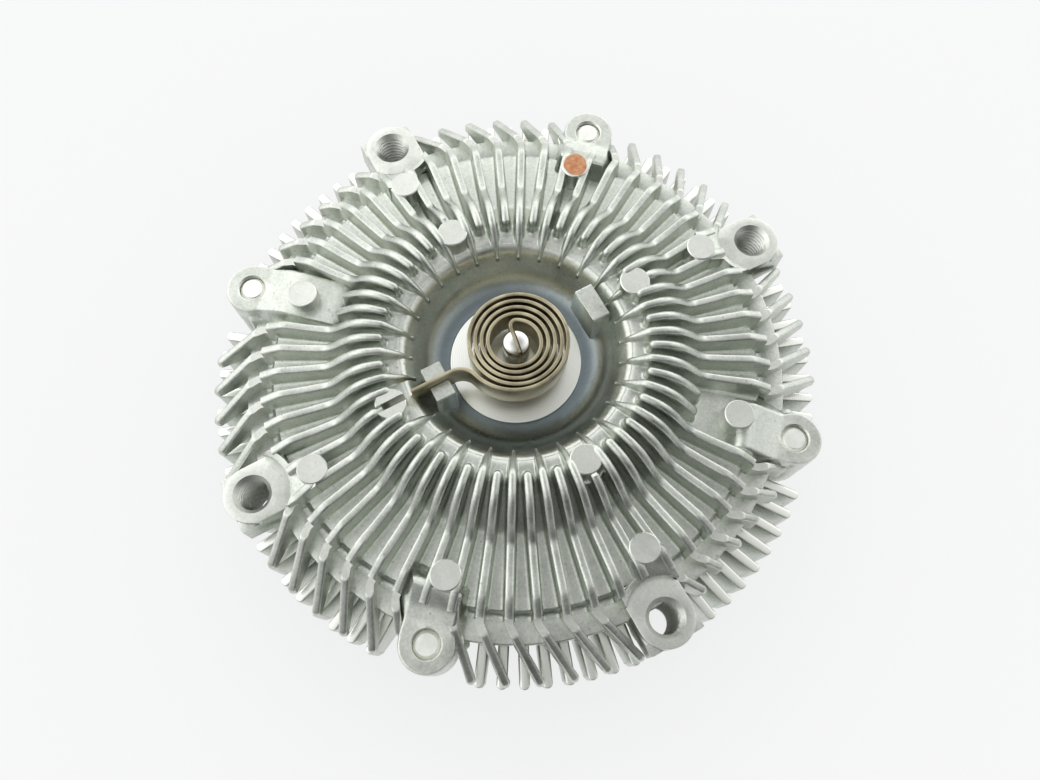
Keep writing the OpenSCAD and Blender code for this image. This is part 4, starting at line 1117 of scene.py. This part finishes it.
@dataclass
class RearCase:
    """The die-cast rear case: a turned bowl with a bearing hub, radial fins and ears for the screws."""

    tip_r: float = 71.4
    fin_t: float = 2.3
    edge: float = 0.35
    fin_count: int = 90
    ear_r: float = 6.0
    ear_hole_r: float = 3.2
    lug_clear: float = 6.2

    def bowl(self) -> Array:
        """Half section of the bowl with the chamber and the bearing's seat, as a closed outline.

        Returns:
            Points (radius, height), [n, 2].
        """
        return fillet([
            (23.5, 15.4, 0.0), (29.0, 15.4, 0.8), (29.0, 30.7, 3.0), (58.8, 30.7, 5.5), (58.8, 39.4, 0.0),
            (61.4, 42.0, 0.0), (61.4, 47.0, 0.2), (58.6, 47.0, 0.0), (58.6, 45.3, 0.0), (56.8, 45.3, 0.0),
            (56.8, 47.0, 0.0), (56.05, 47.0, 0.0), (56.05, 46.0, 0.0), (54.2, 46.0, 0.0), (54.2, 35.7, 1.0),
            (17.5, 35.7, 0.0), (17.5, 32.7, 0.0), (23.5, 32.7, 0.0), (23.5, 18.7, 0.0), (24.7, 18.7, 0.0),
            (24.7, 17.1, 0.0), (23.5, 17.1, 0.0)])

    def plate(self, inner: float) -> tuple[Array, Array]:
        """A fin: its outline in the radial plane, carried through its thickness, with round edges and a round end.

        Args:
            inner: Radius of the fin's inner end.

        Returns:
            Grid [layers, outline points, 3] in the fin's own frame, and the machined share of its points.
        """
        floor_r = max(inner, 33.0)
        outline = fillet([
            (self.tip_r, 45.5, 0.4), (59.4, 45.5, 0.0), (59.4, 33.0, 0.0), (floor_r, 33.0, 0.0),
            (floor_r, 31.0, 0.0), (floor_r + 3.0, 25.0, 1.5), (62.4, 25.0, 3.0), (self.tip_r, 34.7, 3.0)], 3)
        if len(outline) % 2:
            outline = np.concatenate([outline, (outline[-1:] + outline[:1]) / 2.0])
        edge = np.roll(outline, -1, 0) - np.roll(outline, 1, 0)
        inward = np.stack([-edge[:, 1], edge[:, 0]], -1)
        inward /= np.linalg.norm(inward, axis=1, keepdims=True)
        half = self.fin_t / 2.0
        y = half * np.sin(np.radians(np.linspace(-90.0, 90.0, 13)))
        over = np.clip((np.abs(y) - half + self.edge) / self.edge, 0.0, 1.0)
        flat = outline[None] + inward[None] * (self.edge * (1.0 - np.sqrt(1.0 - over**2)))[:, None, None]
        nose = (half - np.sqrt(half**2 - y**2))[:, None] * smooth(self.tip_r - 1.2, self.tip_r, flat[..., 0])
        across = np.broadcast_to(y[:, None], flat.shape[:2])
        # The flat fin tops take the pale turned finish, partly a painted highlight for the light they catch.
        cut = (flat[..., 1] > 45.3) & (over < 0.5)[:, None]
        return np.stack([flat[..., 0] - nose, across, flat[..., 1]], -1), cut.astype(float)

    def ear(self) -> Array:
        """A screw ear about its hole: up the hole, over the joint face, and down the outside.

        Returns:
            Grid [rows, columns, 3] about the hole's axis with X outwards.
        """
        a = steps_round(64, 0.5)
        inner = np.minimum(self.ear_r / np.maximum(np.abs(np.sin(a)), 0.05), self.ear_r + 1.0)
        edge = np.where(np.cos(a) > 0.0, self.ear_r, inner)
        hole = np.full(64, self.ear_hole_r)
        levels = [(hole, 39.0), (hole, 47.0), (edge - 0.1, 47.0), (edge, 46.8), (edge + 0.1, 39.4),
                  (edge - 0.3, 39.0)]
        radius = np.stack([r for r, _ in levels])
        return around(radius, a, np.array([h for _, h in levels])[:, None])

    def build(self) -> list[bpy.types.Object]:
        """Makes the bowl, its fins and its ears.

        Returns:
            The one piece, in a list.
        """
        shell = Shell()
        section = self.bowl()
        cut = (section[:, 0] < 25.0) | ((section[:, 1] > 46.5) & (section[:, 0] < 61.0))
        grid = revolve(section, 240)
        shell.add(grid, ring=True, machined=np.broadcast_to(cut[:, None], grid.shape[:2]))
        shell.add(spread(self.ear(), LUG_R, EAR_ANGLES), ring=True)
        fin = np.arange(self.fin_count)
        degrees = fin * 360.0 / self.fin_count + 1.0
        clear = np.min(np.abs(off_angle(degrees, BOSS_ANGLES + EAR_ANGLES)), 1) > self.lug_clear
        for start, choice in ((34.0, fin % 2 == 0), (54.2, fin % 2 == 1)):
            grid, cut = self.plate(start)
            shell.add(spread(grid, 0.0, degrees[clear & choice]), machined=cut)
        return [shell.piece("rear_case_casting", coat(DIE_CAST), 34.0)]


@dataclass
class BimetalCoil:
    """The sensing coil: a flat strip from the shaft's slot through a hook and a spiral to the anchor block."""

    hook_angle: float = 110.0
    hook_r: float = 1.3
    inner_r: float = 5.1
    pitch: float = 1.44
    strip_t: float = 0.85
    strip_w: float = 7.0
    strip_low: float = 60.5
    lead: float = 15.0
    leg_r: float = 25.0
    shaft_r: float = 3.0
    drift: tuple[float, float] = (0.3, 0.47)
    end_drift: tuple[float, float] = (-0.27, 0.47)

    def path(self) -> tuple[Array, Array]:
        """The strip's middle line: a leg, a hook arc, a spiral whose radius grows by a pitch a turn, and a bend.

        Returns:
            Points [n, 2] and headings in degrees [n].
        """
        hook_turn = math.degrees(math.asin(self.hook_r / (self.inner_r - self.hook_r)))
        first = self.hook_angle - hook_turn
        turns = 5.0 - (ANCHOR_ANGLE + self.lead - first) / 360.0
        last_r = self.inner_r + self.pitch * turns
        bend_r = last_r * math.sin(math.radians(self.lead)) / (1.0 - math.sin(math.radians(self.lead)))

        def polar(r: Array | float, degrees: Array | float) -> Array:
            """Points at a radius and an angle."""
            a = np.radians(degrees)
            return np.stack([r * np.cos(a), r * np.sin(a)], -1)

        leg = np.linspace(0.5 - self.shaft_r, 2.8, 8)
        t = (90.0 + hook_turn) * np.linspace(0.0, 1.0, 12)
        hook = polar(self.inner_r - self.hook_r, first) + polar(self.hook_r, self.hook_angle + 90.0 - t)
        s = np.arange(1, int(turns * 72) + 1) / int(turns * 72) * turns
        settle = smooth(turns - 0.6, turns, s)[:, None]
        wander = (s / turns)[:, None] * np.array(self.drift) * (1.0 - settle) + settle * np.array(self.end_drift)
        spiral = polar(self.inner_r + self.pitch * s, first - 360.0 * s) + wander
        b = (90.0 - self.lead) * np.arange(1, 15) / 14.0
        centre = polar(last_r + bend_r, ANCHOR_ANGLE + self.lead) + self.end_drift
        bend = centre + polar(bend_r, ANCHOR_ANGLE + self.lead + 180.0 + b)
        end = polar(np.linspace(np.hypot(*bend[-1]) + 0.8, self.leg_r, 12), ANCHOR_ANGLE) + self.end_drift
        points = np.concatenate([polar(leg, self.hook_angle), hook, spiral, bend, end])
        heading = np.concatenate([np.full(8, self.hook_angle), self.hook_angle - t, first - 360.0 * s - 90.0,
                                  ANCHOR_ANGLE + self.lead - 90.0 + b, np.full(12, ANCHOR_ANGLE)])
        return points, heading

    def build(self) -> list[bpy.types.Object]:
        """Makes the strip: a rounded rectangle carried along the path.

        Returns:
            The one piece, in a list.
        """
        points, heading = self.path()
        low, high, half = self.strip_low, self.strip_low + self.strip_w, self.strip_t / 2.0
        section = fillet([(half, low, 0.2), (half, high, 0.2), (-half, high, 0.2), (-half, low, 0.2)], 3)
        side = np.radians(heading + 90.0)
        x = points[:, None, 0] + section[None, :, 0] * np.cos(side)[:, None]
        y = points[:, None, 1] + section[None, :, 0] * np.sin(side)[:, None]
        sunk = 0.7 * (1.0 - smooth(2.4, 3.8, np.hypot(*points.T)))
        z = section[None, :, 1] - sunk[:, None] * (section[None, :, 1] > low + 1.0)
        grid = np.stack([x, y, z], -1)
        shell = Shell()
        shell.add(grid)
        obj = shell.piece("bimetal_strip", coat(BIMETAL), 50.0)
        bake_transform(obj)
        run = np.concatenate([[0.0], np.cumsum(np.linalg.norm(np.diff(points, axis=0), axis=1))])
        share = 1.0 - smooth(0.02, 0.93, run / run[-1])
        weights = np.broadcast_to(share[:, None], grid.shape[:2]).astype(np.float32)
        weights.ravel().copy()
        return [obj]


@dataclass
class ValveShaft:
    """The valve's shaft: turned with grooves for its seal and clip, and a domed tip with a slot for the coil."""

    radius: float = 3.0
    slot_half: float = 0.475
    slot_z: float = 60.2
    dome_z: float = 66.6
    top_z: float = 67.88
    lower: tuple[tuple[float, float], ...] = (
        (2.0, 47.3), (2.0, 48.1), (3.0, 48.1), (3.0, 52.4), (2.2, 52.4), (2.2, 54.0), (3.0, 54.0), (3.0, 56.3),
        (2.2, 56.3), (2.2, 57.1), (3.0, 57.1), (3.0, 60.2))

    def jaws(self) -> Array:
        """The two halves of the tip: half discs whose radius follows a flat ellipse over the dome.

        Returns:
            Grids [2, levels, columns, 3].
        """
        t = np.sin(np.radians(np.linspace(0.0, 75.0, 9)))
        z = np.concatenate([[self.slot_z - 0.3], self.dome_z + (self.top_z - self.dome_z) * t])
        r = np.concatenate([[self.radius], self.radius * np.sqrt(1.0 - t**2)])
        start = np.arcsin(self.slot_half / r)[:, None]
        a = start + (np.pi - 2.0 * start) * np.linspace(0.0, 1.0, 24)
        half = around(r[:, None], a, z[:, None])
        return np.stack([half, half * [-1.0, -1.0, 1.0]])

    def build(self) -> list[bpy.types.Object]:
        """Makes the shaft, turned so that its slot lies along the coil's inner leg.

        Returns:
            The one piece, in a list.
        """
        shell = Shell()
        shell.add(revolve(np.array(self.lower), 48))
        for jaw in self.jaws():
            shell.add(spread(jaw, 0.0, [BimetalCoil.hook_angle]))
        return [shell.piece("valve_shaft_turned", coat(VALVE_STEEL))]


@dataclass
class PaintDab:
    """An inspection mark: a thin, uneven film of paint on one outer pad."""

    radius: float = 2.9
    shift: float = 0.15
    top: float = 60.9

    def build(self) -> list[bpy.types.Object]:
        """Makes the film: a low dome whose edge wanders in and out by a few waves.

        Returns:
            The one piece, in a list.
        """
        a = steps_round(64)
        wander = 1.0 + 0.05 * np.sin(2.0 * a + 0.7) + 0.02 * np.sin(3.0 * a + 2.0) + 0.015 * np.sin(7.0 * a)
        levels = np.array([(0.97, -0.05), (1.0, 0.02), (0.97, 0.06), (0.85, 0.09), (0.55, 0.1), (0.2, 0.11)])
        radius = self.radius * levels[:, :1] * wander
        grid = around(radius, a, self.top + levels[:, 1:]) + [self.shift, 0.0, 0.0]
        shell = Shell()
        shell.add(spread(grid, OUTER_PAD_R, [PAINTED_ANGLE]))
        return [shell.piece("paint_mark", coat(MARK_PAINT))]


@dataclass
class CarriedNodes:
    """The CAD pieces that keep their own shape, each with its finish."""

    finishes: tuple[tuple[str, Metal | Coated], ...] = (
        ("drive_shaft", FORGED_STEEL), ("rotor", TURNED_ALUMINIUM), ("bearing_inner_race", BEARING_STEEL),
        ("bearing_outer_race", BEARING_STEEL), ("bearing_balls", BEARING_STEEL), ("bearing_cage", CAGE_STEEL),
        ("bearing_seal_front", RUBBER), ("bearing_seal_rear", RUBBER), ("bearing_snap_ring", SPRING_STEEL),
        ("cover_o_ring", RUBBER), ("partition_plate", SHEET_STEEL), ("cover_screws", ZINC_STEEL),
        ("screw_lock_washers", ZINC_STEEL), ("valve_shaft", VALVE_STEEL), ("valve_shaft_o_ring", RUBBER),
        ("valve_shaft_clip", ZINC_STEEL), ("valve_arm", SHEET_STEEL))

    def dress(self, nodes: Mapping[str, bpy.types.Object]) -> None:
        """Gives each node its material.

        Args:
            nodes: The CAD objects by node name.
        """
        for name, finish in self.finishes:
            nodes[name].data.materials.clear()
            nodes[name].data.materials.append(coat(finish))


@dataclass(frozen=True)
class Patch:
    """A soft patch of light in the room: azimuth and height in degrees, how tight it is, and how bright."""

    azimuth: float
    height: float
    tight: float
    level: float


@dataclass
class Studio:
    """White floor, a room of soft light with one weak softbox, and the camera at the photograph's angle."""

    elevation: float = 70.92
    distance: float = 189.0
    focal_px: float = 835.1
    image_w: float = 1040.0
    sensor: float = 36.0
    target: tuple[float, float] = (1.12, -7.20)
    roll: float = 1.40
    floor_half: float = 2.0
    floor_glow: float = 0.66
    fill: float = 0.9
    lamp_place: tuple[float, float, float] = (-0.45, 0.6, 0.85)
    lamp_size: float = 0.6
    lamp_power: float = 0.3
    gloom: float = 0.1
    room: tuple[Patch, ...] = (
        Patch(270.0, 74.0, 12.0, 0.2),
        Patch(0.0, 52.0, 10.0, 0.7),
        Patch(90.0, 52.0, 10.0, 0.46),
        Patch(135.0, 52.0, 10.0, 0.3),
        Patch(180.0, 52.0, 10.0, 0.92),
        Patch(225.0, 52.0, 10.0, 0.7),
        Patch(0.0, 18.0, 7.0, 0.35),
        Patch(45.0, 18.0, 7.0, 1.6),
        Patch(90.0, 18.0, 7.0, 1.2),
        Patch(135.0, 18.0, 7.0, 1.2),
        Patch(180.0, 18.0, 7.0, 1.3),
        Patch(225.0, 18.0, 7.0, 0.25),
    )

    def camera(self) -> None:
        """Places the camera: it looks at the target from the elevation and distance, with a small roll."""
        el, roll = math.radians(self.elevation), math.radians(self.roll)
        back = np.array([0.0, -math.cos(el), math.sin(el)])
        right = np.array([1.0, 0.0, 0.0])
        up = np.cross(back, right)
        right, up = right * math.cos(roll) + up * math.sin(roll), up * math.cos(roll) - right * math.sin(roll)
        place = (np.array([*self.target, SEAT_Z]) + back * self.distance) * MM
        data = bpy.data.cameras.new("camera")
        data.sensor_width = self.sensor
        data.lens = self.focal_px / self.image_w * self.sensor
        data.clip_start = 0.01
        obj = bpy.data.objects.new("camera", data)
        rows = np.eye(4)
        rows[:3, :3] = np.stack([right, up, back], -1)
        rows[:3, 3] = place
        obj.matrix_world = Matrix(rows.tolist())
        bpy.context.scene.collection.objects.link(obj)
        bpy.context.scene.camera = obj

    def seen(self, tree: bpy.types.NodeTree) -> bpy.types.NodeSocket:
        """Tells the rays that show a surface from those that only light it.

        Args:
            tree: Tree that takes the nodes.

        Returns:
            Socket that is 1 for rays from the camera, from gloss and through glass.
        """
        path = add(tree, "ShaderNodeLightPath").outputs
        both = add(tree, "ShaderNodeMath", {"operation": "MAXIMUM"},
                   {0: path["Is Camera Ray"], 1: path["Is Glossy Ray"]})
        return add(tree, "ShaderNodeMath", {"operation": "MAXIMUM"},
                   {0: both.outputs[0], 1: path["Is Transmission Ray"]}).outputs[0]

    def floor(self) -> None:
        """Makes the floor: pale paper that keeps the shadow."""
        side = self.floor_half
        mesh = bpy.data.meshes.new("floor")
        mesh.from_pydata([(-side, -side, 0.0), (side, -side, 0.0), (side, side, 0.0), (-side, side, 0.0)], [],
                         [(0, 1, 2, 3)])
        material, tree, surface = new_material("white_paper")
        paper = add(tree, "ShaderNodeBsdfDiffuse", {"Color": linear("#f4f5f7")})
        glow = add(tree, "ShaderNodeEmission", {"Color": linear("#ffffff"), "Strength": 1.0})
        share = add(tree, "ShaderNodeMath", {"operation": "MULTIPLY", 1: self.floor_glow}, {0: self.seen(tree)})
        mixed = add(tree, "ShaderNodeMixShader", {},
                    {0: share.outputs[0], 1: paper.outputs[0], 2: glow.outputs[0]})
        tree.links.new(mixed.outputs[0], surface)
        mesh.materials.append(material)
        obj = bpy.data.objects.new("floor", mesh)
        bpy.context.scene.collection.objects.link(obj)

    def world(self) -> None:
        """Sets the room: a dim base and soft patches, each a power of the cosine from its middle."""
        world = bpy.data.worlds.new("studio")
        bpy.context.scene.world = world
        world.use_nodes = True
        tree = world.node_tree
        tree.nodes.clear()
        way = add(tree, "ShaderNodeTexCoord").outputs["Generated"]
        tone = add(tree, "ShaderNodeValue").outputs[0]
        tone.default_value = self.gloom
        for patch in self.room:
            a, h = math.radians(patch.azimuth), math.radians(patch.height)
            aim = (math.cos(h) * math.cos(a), math.cos(h) * math.sin(a), math.sin(h))
            lean = add(tree, "ShaderNodeVectorMath", {"operation": "DOT_PRODUCT", 1: aim}, {0: way})
            front = add(tree, "ShaderNodeMath", {"operation": "MAXIMUM", 1: 0.0}, {0: lean.outputs["Value"]})
            soft = add(tree, "ShaderNodeMath", {"operation": "POWER", 1: patch.tight}, {0: front.outputs[0]})
            tone = add(tree, "ShaderNodeMath", {"operation": "MULTIPLY_ADD", 1: patch.level},
                       {0: soft.outputs[0], 2: tone}).outputs[0]
        path = add(tree, "ShaderNodeLightPath").outputs
        level = add(tree, "ShaderNodeMix", {2: self.fill}, {0: self.seen(tree), 3: tone})
        shown = add(tree, "ShaderNodeMix", {3: 1.0}, {0: path["Is Camera Ray"], 2: level.outputs[0]})
        back = add(tree, "ShaderNodeBackground", {"Color": linear("#ffffff")}, {"Strength": shown.outputs[0]})
        out = add(tree, "ShaderNodeOutputWorld")
        tree.links.new(back.outputs[0], out.inputs["Surface"])

    def lamp(self) -> None:
        """Hangs a square softbox that faces the part."""
        data = bpy.data.lights.new("softbox_above", "AREA")
        data.size = self.lamp_size
        data.energy = self.lamp_power
        obj = bpy.data.objects.new("softbox_above", data)
        back = np.array(self.lamp_place) / np.linalg.norm(self.lamp_place)
        right = np.cross([0.0, 1.0, 0.0], back)
        right /= np.linalg.norm(right)
        rows = np.eye(4)
        rows[:3, :3] = np.stack([right, np.cross(back, right), back], -1)
        rows[:3, 3] = self.lamp_place
        obj.matrix_world = Matrix(rows.tolist())
        bpy.context.scene.collection.objects.link(obj)

    def build(self) -> None:
        """Sets up camera, floor, room and lamp."""
        bpy.context.scene.view_settings.view_transform = "Standard"
        self.camera()
        self.floor()
        self.world()
        self.lamp()


def main() -> None:
    """Builds the pieces in order and puts each on its body, all but the coil."""
    logging.basicConfig(level=logging.INFO)
    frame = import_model()
    Studio().build()
    cover: list[bpy.types.Object] = []
    for part in (FrontFins(), SweptTips(), CoverBody(), FanBosses(), ScrewEars(), EjectorPads(), AnchorBlocks()):
        cover += part.build()
    rear = RearCase().build()
    coil = BimetalCoil().build()
    shaft = ValveShaft().build()
    paint = PaintDab().build()
    for obj in cover + rear + paint:
        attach(obj, Body.HOUSING.value)
    for obj in cover:
        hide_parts("front_cover")
    for obj in rear:
        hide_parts("rear_case")
    for obj in coil:
        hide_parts("bimetal_coil")
    for obj in shaft:
        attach(obj, Body.VALVE.value)
        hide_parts("valve_shaft")
    CarriedNodes().dress(frame["nodes"])


if __name__ == "__main__":
    main()
